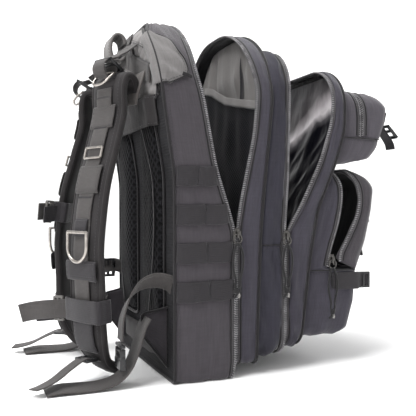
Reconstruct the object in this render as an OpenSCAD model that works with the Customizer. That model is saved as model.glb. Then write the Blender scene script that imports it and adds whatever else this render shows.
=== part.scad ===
// Trauma backpack: an upright soft pack with four zipped layers that fan open toward the front,
// and a padded harness on the back.
// Frame: +Z up, +Y toward the wearer's back (harness side), -Y toward the front pockets, X across.
// The origin lies on the floor, under the middle of the main compartment's base.

/* [Main compartment] */
// Width of the main compartment
shell_w = 280; // [272:2:288]
// Height of the main compartment's crown above the floor
shell_h = 490; // [486:1:496]
// Radius of the crown's shoulders
crown_r = 125; // [115:1:130]
// Thickness of the padded cloth walls
wall = 4; // [3:0.5:4]

/* [Layers in front] */
// How much narrower each layer is than the one behind it, on each side
layer_step = 5; // [5:0.5:6]
// Height of the organizer's crown
organizer_h = 453; // [448:1:458]
// Height of the organizer flap's crown
flap_h = 432; // [428:1:434]
// Width of the lower pocket
lower_w = 246; // [240:2:250]
// Width of the upper pocket
upper_w = 240; // [234:2:246]

/* [Zips] */
// Height at which the two long zips' sliders stand
slider_z = 192; // [186:1:194]
// Length of a cord pull, from its ring to the end of its knot
pull_len = 74; // [60:2:80]
// Diameter of the pull cord
pull_d = 3; // [2.5:0.5:3.5]

/* [Webbing] */
// Width of the narrow webbing
web_w = 25; // [25:1:26]
// Thickness of one layer of webbing
web_t = 2; // [1.6:0.2:2.4]
// Distance from one webbing row to the next
row_pitch = 50; // [49:1:51]
// Height of the lowest webbing row's middle, on the pack's sides
first_row_z = 106; // [100:1:110]

/* [Harness] */
// Width of a shoulder strap
strap_w = 66; // [60:1:70]
// Thickness of a shoulder strap's padding
strap_t = 14; // [12:1:15]
// Distance of a shoulder strap's root from the middle of the pack
strap_x = 72; // [70:1:76]
// Angle by which each strap faces outward
strap_yaw = 25; // [20:1:28]
// Thickness of the back pads
pad_t = 13; // [10:1:14]

/* [Hidden] */
$fn = 48;

far = 600;          // past everything, for cutting solids
seam_gap = 0.35;    // clearance between a piece and the cloth it is sewn to

front_w = shell_w - 2 * layer_step;
organizer_w = front_w - 2;
flap_w = organizer_w - 2 * wall - 2;

// Side outlines, as [y, z] points from the bottom up.
shell_edge = [[-41, 14], [-41, slider_z + 3], [-30, 232], [-14, 280], [3, 368], [12, 405], [28, far]];
shell_back = [[70, far], [70, shell_h], [60, 364], [46, 269], [45, 0]];
shell_floor = [[-36, 0]];
main_zip = [[-42, 16], [-42, slider_z + 4], [-49, 238], [-68, 325], [-74, 387], [-70, 430], [-66, shell_h]];
front_seam = [[-74, 24], [-80, slider_z], [-84, 238], [-98, 374], [-98, 453], [-96, shell_h]];
organizer_zip = [[-119, 24], [-119, slider_z], [-124, 266], [-127, 376], [-128, 453]];
flap_zip = [[-120, 34], [-120, slider_z], [-145, 231], [-177, 295], [-196, 352], [-199, 395], [-200, 432]];
flap_seam = [[-146, 34], [-161, 154], [-174, 224], [-205, 295], [-219, 339], [-220, 396], [-218, 432]];
lower_back = [[-149, 44], [-162, 154], [-175, 224], [-196, 272], [-202, 282]];
lower_zip = [[-212, 275], [-219, 262], [-219, 235], [-212, 202], [-199, 166], [-193, 138]];
lower_front = [[-242, 136], [-238, 91], [-226, 52], [-214, 44]];
lower_flap_zip = [[-207, 151], [-226, 183], [-243, 215], [-248, 240], [-243, 262], [-232, 279]];
lower_flap_front = [[-260, 277], [-274, 257], [-270, 224], [-259, 179], [-243, 138.5]];
upper_back = [[-207, 296], [-221, 340], [-222, 398]];
upper_zip = [[-247, 396], [-254, 366], [-253, 331]];
upper_base = [[-286, 330], [-280, 316], [-267, 300], [-235, 295]];
lid_front = [[-289, 394], [-300, 379], [-296, 353], [-287, 331.5]];

function reversed(list) = [for (i = [len(list) - 1:-1:0]) list[i]];
function shifted(list, dy, dz = 0) = [for (p = list) [p[0] + dy, p[1] + dz]];
function unit(v) = v / norm(v);
function normal_at(path, i) =
  let (a = path[max(i - 1, 0)], b = path[min(i + 1, len(path) - 1)], t = unit(b - a)) [-t[1], t[0]];
function offset_path(path, d) = [for (i = [0:len(path) - 1]) path[i] + d * normal_at(path, i)];
function band(path, t) = concat(offset_path(path, t / 2), reversed(offset_path(path, -t / 2)));

// The outline seen from the front: straight sides and a rounded crown.
module arch(w, h, r, z0 = 0) {
  translate([-w / 2, z0]) square([w, h - r - z0]);
  translate([-(w / 2 - r), z0]) square([w - 2 * r, h - z0]);
  for (s = [-1, 1]) translate([s * (w / 2 - r), h - r]) circle(r, $fn = 96);
}
module across() { translate([0, far, 0]) rotate([90, 0, 0]) linear_extrude(2 * far) children(); }
module sideways(profile, w) { rotate([90, 0, 90]) linear_extrude(w, center = true) polygon(profile); }
module sideways_at(profile, x0, x1) {
  translate([x0, 0, 0]) rotate([90, 0, 90]) linear_extrude(x1 - x0) polygon(profile);
}
module both(side) { if (side > 0) children(); else mirror([1, 0, 0]) children(); }
module at_yz(y, z, x = 0) { translate([x, y, z]) children(); }

// A hollow layer: an outline from the front, cut to a profile from the side, less its inside.
module layer(w, h, r, outer, inner, z0 = 0) {
  difference() {
    intersection() {
      across() arch(w, h, r, z0);
      sideways(outer, w + 2);
    }
    intersection() {
      across() arch(w - 2 * wall, h - wall, r - wall, z0 + wall);
      sideways(inner, w);
    }
  }
}

// ---- main compartment -------------------------------------------------------------------
module rear_shell() {
  color("#4a484a")
  layer(shell_w, shell_h, crown_r,
        concat(shell_edge, shell_back, shell_floor),
        [[-60, 0], [-60, far], [66, far], [66, shell_h], [56, 364], [42, 269], [41, 0]]);
}
module frame_sheet() {
  sheet_t = 1.5;
  sheet_line = [[41, 6], [42, 269], [56, 364], [62.4, 446]];
  color("#1c1c1e")
  intersection() {
    across() arch(shell_w - 50, shell_h - 40, 80, 20);
    sideways(concat(shifted(sheet_line, -0.6), shifted(reversed(sheet_line), -0.6 - sheet_t)), shell_w);
  }
}

// ---- back padding -----------------------------------------------------------------------
back_line = [[45, 60], [46, 269], [60, 364]];
module back_pad(side) {
  color("#2b2a2c")
  both(side)
  intersection() {
    across() translate([22, 0]) {
      translate([0, 66]) square([84, 236]);
      translate([24, 290]) square([88, 32]);
      translate([80, 140]) square([32, 182]);
      for (c = [[24, 300], [60, 318], [88, 318]]) translate(c) circle(24);
    }
    sideways(concat(shifted(back_line, seam_gap), shifted(reversed(back_line), pad_t)), shell_w);
  }
}
module back_pad_left() { back_pad(-1); }
module back_pad_right() { back_pad(1); }
module lumbar_pad() {
  color("#333234")
  translate([-96, 45 + seam_gap, 20]) cube([192, pad_t - 3, 40]);
}
module yoke() {
  yoke_line = [[61.6, 370], [67, 425], [71.2, 478]];
  color("#5c5a58")
  intersection() {
    across() arch(shell_w - 24, shell_h - 6, 110, 372);
    sideways(concat(shifted(yoke_line, 0.2), shifted(reversed(yoke_line), 7)), shell_w);
  }
}

// ---- webbing rows on the sides ----------------------------------------------------------
module side_webbing(side) {
  rows = 4;
  lengths = [76, 74, 72, 62];
  color("#3d3b3d")
  both(side)
  for (i = [0:rows - 1])
    translate([shell_w / 2 + 0.05, 42 - lengths[i], first_row_z + i * row_pitch])
      cube([web_t, lengths[i], web_w]);
}
module side_webbing_left() { side_webbing(-1); }
module side_webbing_right() { side_webbing(1); }

// ---- lower corner anchors and the hip belt webbing ----------------------------------------
module strap_anchor(side) {
  x = shell_w / 2 - 31;
  color("#3a383a")
  both(side)
  sideways_at([[45.5, 16], [79, 62], [79, 88], [45.5, 96]], x, x + 5);
}
module strap_anchor_left() { strap_anchor(-1); }
module strap_anchor_right() { strap_anchor(1); }

belt_path = [[84, 74], [90, 50], [100, 26], [116, 10], [138, 3.4], [170, 2.4], [206, 2.4]];
module belt(side) {
  color("#4b4a49")
  both(side)
  sideways_at(band(belt_path, 2.6), shell_w / 2 - 40, shell_w / 2 - 2);
}
module belt_left() { belt(-1); }
module belt_right() { belt(1); }

module grab_handle() {
  handle_w = 34;
  color("#55534f")
  difference() {
    sideways([[80.5, 441], [93, 446], [101, 456], [103, 468], [99, 480], [90, 485], [80.5, 480]],
             handle_w);
    sideways([[80, 451], [90, 454], [95, 461], [96.5, 468], [93.5, 475], [88, 478], [80, 472]],
             handle_w + 6);
  }
}

// ---- front of the main compartment --------------------------------------------------------
module front_panel() {
  front_h = shell_h - 5;
  front_r = crown_r - layer_step;
  color("#454346")
  union() {
    difference() {
      intersection() {
        across() arch(front_w, front_h, front_r, 16);
        sideways(concat(main_zip, reversed(shifted(front_seam, wall / 2))), front_w + 2);
      }
      across() arch(front_w - 2 * wall, front_h - wall, front_r - wall, 16 + wall);
    }
    intersection() {
      across() arch(front_w, front_h, front_r, 24);
      sideways(concat(shifted(front_seam, wall), reversed(front_seam)), front_w + 2);
    }
  }
}
module mesh_pocket() {
  mesh_line = [[-70.9, 50], [-76, slider_z], [-80, 238], [-93.5, 374], [-93.5, 404]];
  color("#161618")
  intersection() {
    across() arch(front_w - 12, shell_h - 17, crown_r - layer_step - 12, 40);
    sideways(concat(shifted(mesh_line, 0.4), reversed(shifted(mesh_line, 2))), front_w);
  }
}
module organizer_gusset() {
  color("#434145")
  difference() {
    intersection() {
      across() arch(organizer_w, organizer_h, 65, 24);
      sideways(concat(front_seam, reversed(organizer_zip)), organizer_w + 2);
    }
    across() arch(organizer_w - 2 * wall, organizer_h - wall, 65 - wall, 24 + wall);
  }
}
module organizer_sleeve() {
  sleeve_line = [[-80, 40], [-85, slider_z], [-88, 238], [-93, 290]];
  color("#232226")
  intersection() {
    across() arch(organizer_w - 16, 290, 20, 44);
    sideways(concat(shifted(sleeve_line, -2.4), reversed(shifted(sleeve_line, -4))), organizer_w);
  }
}

// ---- organizer flap and what is sewn to it -------------------------------------------------
module organizer_flap() {
  color("#474548")
  union() {
    difference() {
      intersection() {
        across() arch(flap_w, flap_h, 60, 34);
        sideways(concat(flap_zip, reversed(flap_seam)), flap_w + 2);
      }
      across() arch(flap_w - 2 * wall, flap_h - wall, 60 - wall, 34 + wall);
    }
    intersection() {
      across() arch(flap_w, flap_h, 60, 34);
      sideways(concat(shifted(flap_seam, wall), reversed(flap_seam)), flap_w + 2);
    }
  }
}
module lower_pocket() {
  inside = [[-153, 48], [-166, 154], [-179, 224], [-200, 270], [-204, 277.5], [-262, 284], [-262, 170],
            [-238, 140], [-234, 91], [-223, 54], [-212, 48]];
  color("#454346")
  layer(lower_w, 284, 30, concat(lower_back, lower_zip, lower_front), inside, 44);
}
module lower_pocket_flap() {
  inside = [[-190, 120], [-238, 120], [-240, 143], [-255, 180], [-266, 224], [-269.5, 255], [-258, 272.5],
            [-200, 276]];
  color("#454346")
  layer(lower_w, 282, 28, concat(lower_flap_zip, lower_flap_front), inside, 100);
}
module lower_flap_webbing() {
  color("#3c3a3c")
  for (i = [0:1]) let (z = 168 + i * row_pitch, y = i == 0 ? -257.4 : -268.8, lean = i == 0 ? 15 : 13)
    at_yz(y, z) rotate([lean, 0, 0]) translate([-lower_w / 2 + 12, -web_t - 1.2, -web_w / 2])
      cube([lower_w - 24, web_t, web_w]);
}
module compression_strap(side) {
  lock_w = 18;
  lock_h = web_w - 4;
  strap_len = 46;
  color("#2c2b2c")
  both(side) {
    translate([lower_w / 2 + 0.1, -200 - strap_len, 108]) cube([web_t, strap_len, web_w]);
    translate([lower_w / 2 + 2 - lock_w, -266, 110]) difference() {
      cube([lock_w, 8, lock_h]);
      for (z = [4, 12]) translate([4, -1, z]) cube([lock_w - 8, 10, 5]);
    }
    translate([lower_w / 2 - 3, -258.2, 112]) cube([web_t + 3, 13, lock_h - 4]);
  }
}
module compression_strap_left() { compression_strap(-1); }
module compression_strap_right() { compression_strap(1); }

module upper_pocket() {
  inside = [[-211, 300], [-225, 340], [-226, 394], [-290, 392], [-290, 335], [-282, 328], [-277, 318],
            [-265, 304], [-236, 299]];
  color("#454346")
  layer(upper_w, 400, 26, concat(upper_back, upper_zip, upper_base), inside, 295);
}
module upper_pocket_lid() {
  inside = [[-240, 320], [-282, 320], [-283, 334], [-292, 354], [-295.5, 378], [-287, 389.5], [-240, 391.5]];
  rear = [[-254.2, 331.5], [-255, 366], [-248, 396]];
  color("#454346")
  layer(upper_w, 399, 25, concat(rear, lid_front), inside, 300);
}
lid_strap_x = 100;
module lid_strap() {
  color("#3c3a3c")
  for (side = [-1, 1]) translate([side * lid_strap_x, 0, 0])
    sideways([[-300.3, 352], [-304.8, 372], [-306.8, 372], [-302.3, 352]], web_w);
}
lock_pivot = [-304.4, 349];
module lid_ladder_lock(side) {
  lean = 45;
  color("#1f1f20")
  at_yz(lock_pivot[0], lock_pivot[1], side * lid_strap_x) rotate([-lean, 0, 0]) difference() {
    translate([-16, -8, -26]) cube([32, 5, 27]);
    for (z = [-21, -11]) translate([-12, -9, z]) cube([24, 7, 6]);
  }
}
module lid_ladder_lock_left() { lid_ladder_lock(-1); }
module lid_ladder_lock_right() { lid_ladder_lock(1); }

// ---- zip sliders and their cord pulls ------------------------------------------------------
// A slider's body lies on the zip; its ring's pin is where the pull hangs.
ring_r = 6;
module slider_body() {
  color("#3a3a3c")
  difference() {
    union() {
      translate([0, -6, -8]) cube([3, 12, 16]);
      translate([2.9, -1.4, -5]) cube([3.9, 2.8, 10]);
    }
    translate([3.1, -2, -1.6]) cube([2.6, 4, 3.2]);
  }
}
// A closed loop of cord, gathered in a knot, hanging from a small metal ring.
module pull_body() {
  loop_w = 15;
  knot_d = 8;
  ring_wire = 1.8;
  straight = pull_len - ring_r - loop_w - 7;
  top = -2 * ring_r;
  r = loop_w / 2;
  color("#3b3c3a") {
    for (end = [[top - r, 0], [top - r - straight, -20]])
      translate([0, 0, end[0]]) intersection() {
        rotate([0, 90, 0]) rotate_extrude($fn = 32) translate([r, 0]) circle(pull_d / 2, $fn = 16);
        translate([-5, -20, end[1]]) cube([10, 40, 20]);
      }
    for (s = [-1, 1])
      translate([0, s * r, top - r - straight]) cylinder(h = straight, d = pull_d, $fn = 16);
    translate([0, 0, top - loop_w - straight - 3]) sphere(d = knot_d, $fn = 32);
  }
  color("#8b8a86")
  translate([0, 0, -ring_r]) rotate([0, 90, 0]) rotate_extrude($fn = 48)
    translate([ring_r, 0]) circle(d = ring_wire, $fn = 16);
}
// Places of the sliders: x, y, z on the right side.
main_at = [shell_w / 2 + 0.6, -41.5, slider_z];
organizer_at = [organizer_w / 2 + 0.6, -119.5, slider_z - 4];
lower_at = [lower_w / 2 + 0.6, -200, 152];
upper_at = [60, -250.8, 400.4];
pull_out = 4.4;
module slider_at(p, side) { both(side) translate(p) slider_body(); }
module pull_at(p, side) { both(side) translate(p + [pull_out, 0, 0]) pull_body(); }
module main_slider_left() { slider_at(main_at, -1); }
module main_slider_right() { slider_at(main_at, 1); }
module main_pull_left() { pull_at(main_at, -1); }
module main_pull_right() { pull_at(main_at, 1); }
module organizer_slider_left() { slider_at(organizer_at, -1); }
module organizer_slider_right() { slider_at(organizer_at, 1); }
module organizer_pull_left() { pull_at(organizer_at, -1); }
module organizer_pull_right() { pull_at(organizer_at, 1); }
module lower_slider_left() { slider_at(lower_at, -1); }
module lower_slider_right() { slider_at(lower_at, 1); }
module lower_pull_left() { pull_at(lower_at, -1); }
module lower_pull_right() { pull_at(lower_at, 1); }

// ---- shoulder straps ------------------------------------------------------------------------
// A strap's path in its own plane: q outward from the strap's crest, and height z.
strap_origin = [strap_x, 106];
strap_path = [[-14, 380], [-13, 391], [-6, 400], [4, 399], [9, 388], [10, 372], [10, 350], [22, 306],
              [36, 257], [43, 215], [47, 172], [45, 127], [44, 92], [40, 56], [26, 28], [6, 14]];
module in_strap_plane(side) {
  both(side) translate([strap_origin[0], strap_origin[1], 0]) rotate([0, 0, -strap_yaw]) children();
}
module shoulder_strap(side) {
  taper_z = 96;
  end_w = 34;
  color("#4c4a4a")
  in_strap_plane(side) intersection() {
    sideways(band(strap_path, strap_t), strap_w);
    across() polygon([[-end_w / 2, 0], [end_w / 2, 0], [strap_w / 2, taper_z], [strap_w / 2, far],
                      [-strap_w / 2, far], [-strap_w / 2, taper_z]]);
  }
}
module shoulder_strap_left() { shoulder_strap(-1); }
module shoulder_strap_right() { shoulder_strap(1); }
webbing_stretch = [for (i = [5:13]) strap_path[i]];
module strap_webbing(side) {
  face = offset_path(webbing_stretch, strap_t / 2 + web_t / 2 + 0.2);
  color("#403f3e")
  in_strap_plane(side) sideways(band(face, web_t), web_w + 5);
}
module strap_webbing_left() { strap_webbing(-1); }
module strap_webbing_right() { strap_webbing(1); }

// A steel D ring that hangs by its straight bar from the strap's webbing.
ring_pivot = [61, 196];
module strap_ring(side) {
  wire = 4;
  r = 20;
  color("#8d8b86")
  in_strap_plane(side) at_yz(ring_pivot[0] + 1.4, ring_pivot[1]) {
    rotate([0, 90, 0]) cylinder(h = 2 * r, d = wire, center = true, $fn = 24);
    for (s = [-1, 1]) translate([s * r, 0, -18]) cylinder(h = 18, d = wire, $fn = 24);
    translate([0, 0, -18]) intersection() {
      rotate([90, 0, 0]) rotate_extrude($fn = 64) translate([r, 0]) circle(d = wire, $fn = 24);
      translate([-30, -10, -40]) cube([60, 20, 40]);
    }
  }
}
module strap_ring_left() { strap_ring(-1); }
module strap_ring_right() { strap_ring(1); }

// A rectangular steel loop that stands on the strap's webbing higher up.
bar_pivot = [35, 306];
module strap_bar(side) {
  wire = 3.2;
  w = 34;
  drop = 14;
  color("#9a938a")
  in_strap_plane(side) at_yz(bar_pivot[0], bar_pivot[1]) rotate([14, 0, 0]) {
    for (z = [0, -drop]) translate([0, 0, z])
      rotate([0, 90, 0]) cylinder(h = w, d = wire, center = true, $fn = 24);
    for (s = [-1, 1]) translate([s * w / 2, 0, -drop]) cylinder(h = drop, d = wire, $fn = 24);
  }
}
module strap_bar_left() { strap_bar(-1); }
module strap_bar_right() { strap_bar(1); }

// Ladder locks on the straps' crests, and the load lifter webbing that runs to the yoke.
lock_at = [11, 416.5];
module lifter_lock(side) {
  color("#2a2a2b")
  in_strap_plane(side) at_yz(lock_at[0], lock_at[1]) rotate([-58, 0, 0]) difference() {
    translate([-17, -2.5, -12]) cube([34, 5, 26]);
    for (z = [-8, 3]) translate([-13, -4, z]) cube([26, 8, 6]);
  }
}
module lifter_lock_left() { lifter_lock(-1); }
module lifter_lock_right() { lifter_lock(1); }
module load_lifter(side) {
  path = [[-25, 449], [-12, 438], [0, 431]];
  color("#4e4c4a")
  in_strap_plane(side) sideways(band(path, web_t), web_w);
}
module load_lifter_left() { load_lifter(-1); }
module load_lifter_right() { load_lifter(1); }

// The chest strap's two halves, each a band around its shoulder strap with a free end.
module sternum_half(side) {
  z = side < 0 ? 80 : 205;
  q = side < 0 ? 43.2 : 44.5;
  lean = side < 0 ? -3.5 : 8;
  tail_len = side < 0 ? 72 : 28;
  tail_turn = 25;
  band_h = 32;
  room = 1;       // slack between the band and the strap's edges
  inside = 4;     // slack behind the strap
  outside = 6;    // slack in front of the strap, over its webbing
  color("#454342")
  in_strap_plane(side) at_yz(q, z) rotate([lean, 0, 0]) {
    difference() {
      translate([-strap_w / 2 - room - web_t, -strap_t / 2 - inside - web_t, 0])
        cube([strap_w + 2 * (room + web_t), strap_t + inside + outside + 2 * web_t, band_h]);
      translate([-strap_w / 2 - room, -strap_t / 2 - inside, -1])
        cube([strap_w + 2 * room, strap_t + inside + outside, band_h + 2]);
    }
    translate([-strap_w / 2 - room - web_t / 2, strap_t / 2, (band_h - web_w) / 2])
      rotate([0, 0, -tail_turn]) translate([-tail_len, 0, 0]) cube([tail_len, web_t + 1, web_w]);
  }
}
module sternum_half_left() { sternum_half(-1); }
module sternum_half_right() { sternum_half(1); }

// The webbing from the pack's lower side to the lower end of the strap, and its buckle.
lower_path = [[46.6, 131], [64, 134], [86, 128], [104, 108], [112, 84], [112, 58]];
lower_x = 110;
module lower_webbing(side) {
  color("#3f3d3e")
  both(side) sideways_at(band(lower_path, web_t), lower_x, lower_x + web_w);
}
module lower_webbing_left() { lower_webbing(-1); }
module lower_webbing_right() { lower_webbing(1); }
module lower_buckle(side) {
  rim = 3;
  depth = 8;
  h = 34;
  slot_w = web_w - 4;
  color("#1d1d1e")
  both(side) translate([lower_x - rim, lower_path[len(lower_path) - 1][0] - depth / 2, 22]) difference() {
    cube([web_w + 2 * rim, depth, h]);
    for (slot = [[5, 8], [24, 5]])
      translate([rim + 2, -1, slot[0]]) cube([slot_w, depth + 2, slot[1]]);
  }
}
module lower_buckle_left() { lower_buckle(-1); }
module lower_buckle_right() { lower_buckle(1); }

// The small zip on top of the upper pocket has one slider, and its pull lies on the lid.
module upper_slider() {
  translate(upper_at) rotate([0, -90, 0]) slider_body();
}
module upper_pull() {
  translate(upper_at + [0, 0, pull_out]) rotate([0, -90, 0]) pull_body();
}

rear_shell();
frame_sheet();
back_pad_left();
back_pad_right();
lumbar_pad();
yoke();
side_webbing_left();
side_webbing_right();
strap_anchor_left();
strap_anchor_right();
belt_left();
belt_right();
grab_handle();
front_panel();
mesh_pocket();
organizer_gusset();
organizer_sleeve();
organizer_flap();
lower_pocket();
upper_pocket();
lower_pocket_flap();
lower_flap_webbing();
compression_strap_left();
compression_strap_right();
upper_pocket_lid();
lid_strap();
lid_ladder_lock_left();
lid_ladder_lock_right();
main_slider_left();
main_slider_right();
main_pull_left();
main_pull_right();
organizer_slider_left();
organizer_slider_right();
organizer_pull_left();
organizer_pull_right();
lower_slider_left();
lower_slider_right();
lower_pull_left();
lower_pull_right();
upper_slider();
upper_pull();
shoulder_strap_left();
shoulder_strap_right();
strap_webbing_left();
strap_webbing_right();
strap_ring_left();
strap_ring_right();
strap_bar_left();
strap_bar_right();
lifter_lock_left();
lifter_lock_right();
load_lifter_left();
load_lifter_right();
sternum_half_left();
sternum_half_right();
lower_webbing_left();
lower_webbing_right();
lower_buckle_left();
lower_buckle_right();
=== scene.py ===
"""Looks of the trauma backpack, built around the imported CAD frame.

All shapes are worked out in millimetres in the row frame (+Z up, +Y the harness side, -Y the front
pockets, X across) and turned into metres when a mesh is made.
"""
import math

import bmesh
import bpy
import numpy as np
from mathutils import Matrix, Vector


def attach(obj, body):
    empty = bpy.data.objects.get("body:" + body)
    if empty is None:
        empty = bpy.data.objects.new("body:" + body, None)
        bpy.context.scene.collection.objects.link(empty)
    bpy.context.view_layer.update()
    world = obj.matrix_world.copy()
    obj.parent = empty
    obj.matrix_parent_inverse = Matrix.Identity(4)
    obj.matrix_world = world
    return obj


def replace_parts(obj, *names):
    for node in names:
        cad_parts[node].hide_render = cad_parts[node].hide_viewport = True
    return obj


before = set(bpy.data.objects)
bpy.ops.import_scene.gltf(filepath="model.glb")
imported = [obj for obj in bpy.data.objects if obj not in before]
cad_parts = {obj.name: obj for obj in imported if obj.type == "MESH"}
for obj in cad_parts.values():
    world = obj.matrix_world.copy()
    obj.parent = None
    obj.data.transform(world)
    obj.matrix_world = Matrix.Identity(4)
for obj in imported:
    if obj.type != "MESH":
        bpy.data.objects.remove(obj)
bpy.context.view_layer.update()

MM = 0.001
SIDES = (("left", -1), ("right", 1))
A = np.array
UP = A([0, 0, 1.0])
REAR = A([0, 1.0, 0])        # towards the wearer

# ---- the camera ---------------------------------------------------------------------------------

CAMERA_AT = (-0.906, 0.309, 0.227)       # metres
VIEW = (0.927, -0.375)                   # the level direction it looks in
LENS = 54.6


def make_camera():
    cam = bpy.data.cameras.new("camera")
    cam.lens, cam.sensor_width, cam.clip_start = LENS, 36, 0.05
    obj = bpy.data.objects.new("camera", cam)
    obj.location = CAMERA_AT
    obj.rotation_euler = Vector((*VIEW, 0.0)).to_track_quat("-Z", "Y").to_euler()
    bpy.context.collection.objects.link(obj)
    bpy.context.scene.camera = obj


make_camera()

# ---- sizes shared by the pieces (mm) --------------------------------------------------------------

# The four layers: width, height of the crown, radius of its shoulders, height of its lowest edge.
SHELL = (280, 490, 125, 0)
FRONT = (270, 485, 120, 16)
ORGANIZER = (268, 453, 65, 24)
FLAP = (258, 432, 60, 34)
LOWER = (246, 284, 30, 44)
LOWER_FLAP = (246, 282, 28, 138.5)
UPPER = (240, 400, 26, 295)
LID = (240, 399, 25, 331)
TAPE = 7           # visible width of a zip tape
GUSSET_PITCH = 4.0  # spacing of a gusset's points across it
STRAP_YAW = math.radians(25)
STRAP_ORIGIN = (72, 106)
STRAP_W = 66
STRAP_T = 14
PULL_D = 3

# Side outlines, (y, z) from the bottom up.
SHELL_BACK = [(45, 0), (46, 269), (60, 364), (70, 462), (62, 479), (46, 492)]
SHELL_EDGE = [(-36, 0), (-40, 8), (-41, 16), (-41, 195), (-30, 232), (-14, 280), (3, 368), (12, 405),
              (19, 490)]
MAIN_ZIP = [(-42, 16), (-42, 196), (-49, 238), (-68, 325), (-74, 387), (-70, 430), (-66, 490)]
FRONT_SEAM = [(-74, 24), (-80, 192), (-84, 238), (-98, 374), (-98, 453), (-96, 490)]
ORGANIZER_ZIP = [(-119, 24), (-119, 192), (-124, 266), (-127, 376), (-128, 453)]
FLAP_ZIP = [(-120, 34), (-120, 192), (-145, 231), (-177, 295), (-196, 352), (-199, 395), (-200, 432)]
FLAP_SEAM = [(-146, 34), (-161, 154), (-174, 224), (-205, 295), (-219, 339), (-220, 396), (-218, 432)]
LOWER_BACK = [(-149, 44), (-162, 154), (-175, 224), (-196, 272), (-202, 284)]
LOWER_EDGE = [(-214, 44), (-226, 52), (-238, 91), (-242, 136), (-242.5, 137), (-193, 137.6), (-199, 166),
              (-212, 202), (-219, 235), (-219, 262), (-212, 275), (-204, 284)]
LOWER_FLAP_ZIP = [(-242, 138.5), (-207, 151), (-226, 183), (-243, 215), (-248, 240), (-243, 262),
                  (-232, 282)]
LOWER_FLAP_FRONT = [(-243, 138.5), (-259, 179), (-270, 224), (-274, 257), (-262, 277), (-240, 282)]
UPPER_BACK = [(-207, 295), (-221, 340), (-222, 400)]
UPPER_EDGE = [(-236, 295), (-267, 300), (-280, 316), (-286, 330), (-253, 330.6), (-254, 366), (-247, 400)]
LID_ZIP = [(-254.4, 331), (-255.4, 366), (-248.4, 399)]
LID_FRONT = [(-287, 331), (-296, 353), (-300, 379), (-289, 394), (-284, 399)]
STRAP_PATH = [(-14, 380), (-13, 391), (-6, 400), (4, 399), (9, 388), (10, 372), (10, 350), (22, 306),
              (36, 257), (43, 215), (47, 172), (45, 127), (44, 92), (40, 56), (26, 28), (6, 14)]

# ---- small mathematics ----------------------------------------------------------------------------


def smoothstep(x):
    x = np.clip(x, 0, 1)
    return x * x * (3 - 2 * x)


def profile(points, soft=9.0):
    """y as a function of z through the points, its kinks rounded over about soft mm."""
    y, z = A(points, float).T
    grid_z = np.arange(z[0] - 60, z[-1] + 60, 0.5)
    grid_y = np.interp(grid_z, z, y)
    if soft > 0:
        pad = int(6 * soft)
        k = np.exp(-0.5 * (np.arange(-pad, pad + 1) * 0.5 / soft) ** 2)
        grid_y = np.convolve(np.pad(grid_y, pad, mode="edge"), k / k.sum(), mode="valid")
    return lambda q: np.interp(q, grid_z, grid_y)


def ripple(u, v, seed, scale_u, scale_v, waves=7):
    """Smooth random folds, about -1 to 1; the scales are the folds' lengths in mm."""
    r = np.random.default_rng(seed)
    out = 0
    for _ in range(waves):
        fu, fv = r.uniform(0.5, 1.6) / scale_u, r.uniform(-1.3, 1.3) / scale_v
        out = out + np.sin(2 * math.pi * (fu * u + fv * v) + r.uniform(0, 7))
    return out / waves ** 0.5 / 1.2


def unit(v):
    return v / np.maximum(np.linalg.norm(v, axis=-1, keepdims=True), 1e-9)


def points(x, y, z):
    """Points from their coordinates, which may be arrays that broadcast together."""
    return np.stack(np.broadcast_arrays(x, y, z), axis=-1)


def run_along(line):
    """The distance along a line at each of its points."""
    return np.concatenate([[0], np.cumsum(np.linalg.norm(np.diff(line, axis=0), axis=1))])


def points_at(line, at):
    """The points of a line at the given distances along it."""
    along = run_along(line)
    return np.stack([np.interp(at, along, line[:, k]) for k in range(line.shape[1])], axis=1)


def tangents(c, closed=False):
    return unit(np.roll(c, -1, axis=0) - np.roll(c, 1, axis=0) if closed else np.gradient(c, axis=0))


def square_to(v, t):
    """The direction v made perpendicular to the tangents t."""
    return unit(v - t * (v * t).sum(1, keepdims=True))


def crosswise(n):
    """Values from -1 to 1, closer together towards both ends, as one row."""
    return np.sin(np.linspace(-math.pi / 2, math.pi / 2, n))[None, :]


def curve_through(points, n, closed=False):
    """n points evenly spaced along a smooth curve through the given ones (Catmull-Rom)."""
    p = A(points, float)
    ext = np.vstack([p[-1:], p, p[:2]]) if closed else np.vstack([2 * p[0] - p[1], p, 2 * p[-1] - p[-2]])
    rows = []
    for i in range(1, len(ext) - 2):
        a, b, c, d = ext[i - 1:i + 3]
        t = np.linspace(0, 1, 24, endpoint=False)[:, None]
        rows.append(0.5 * (2 * b + (c - a) * t + (2 * a - 5 * b + 4 * c - d) * t ** 2
                           + (3 * b - a - 3 * c + d) * t ** 3))
    rows.append(ext[-2][None])
    line = np.vstack(rows)
    return points_at(line, np.linspace(0, run_along(line)[-1], n))


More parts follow.
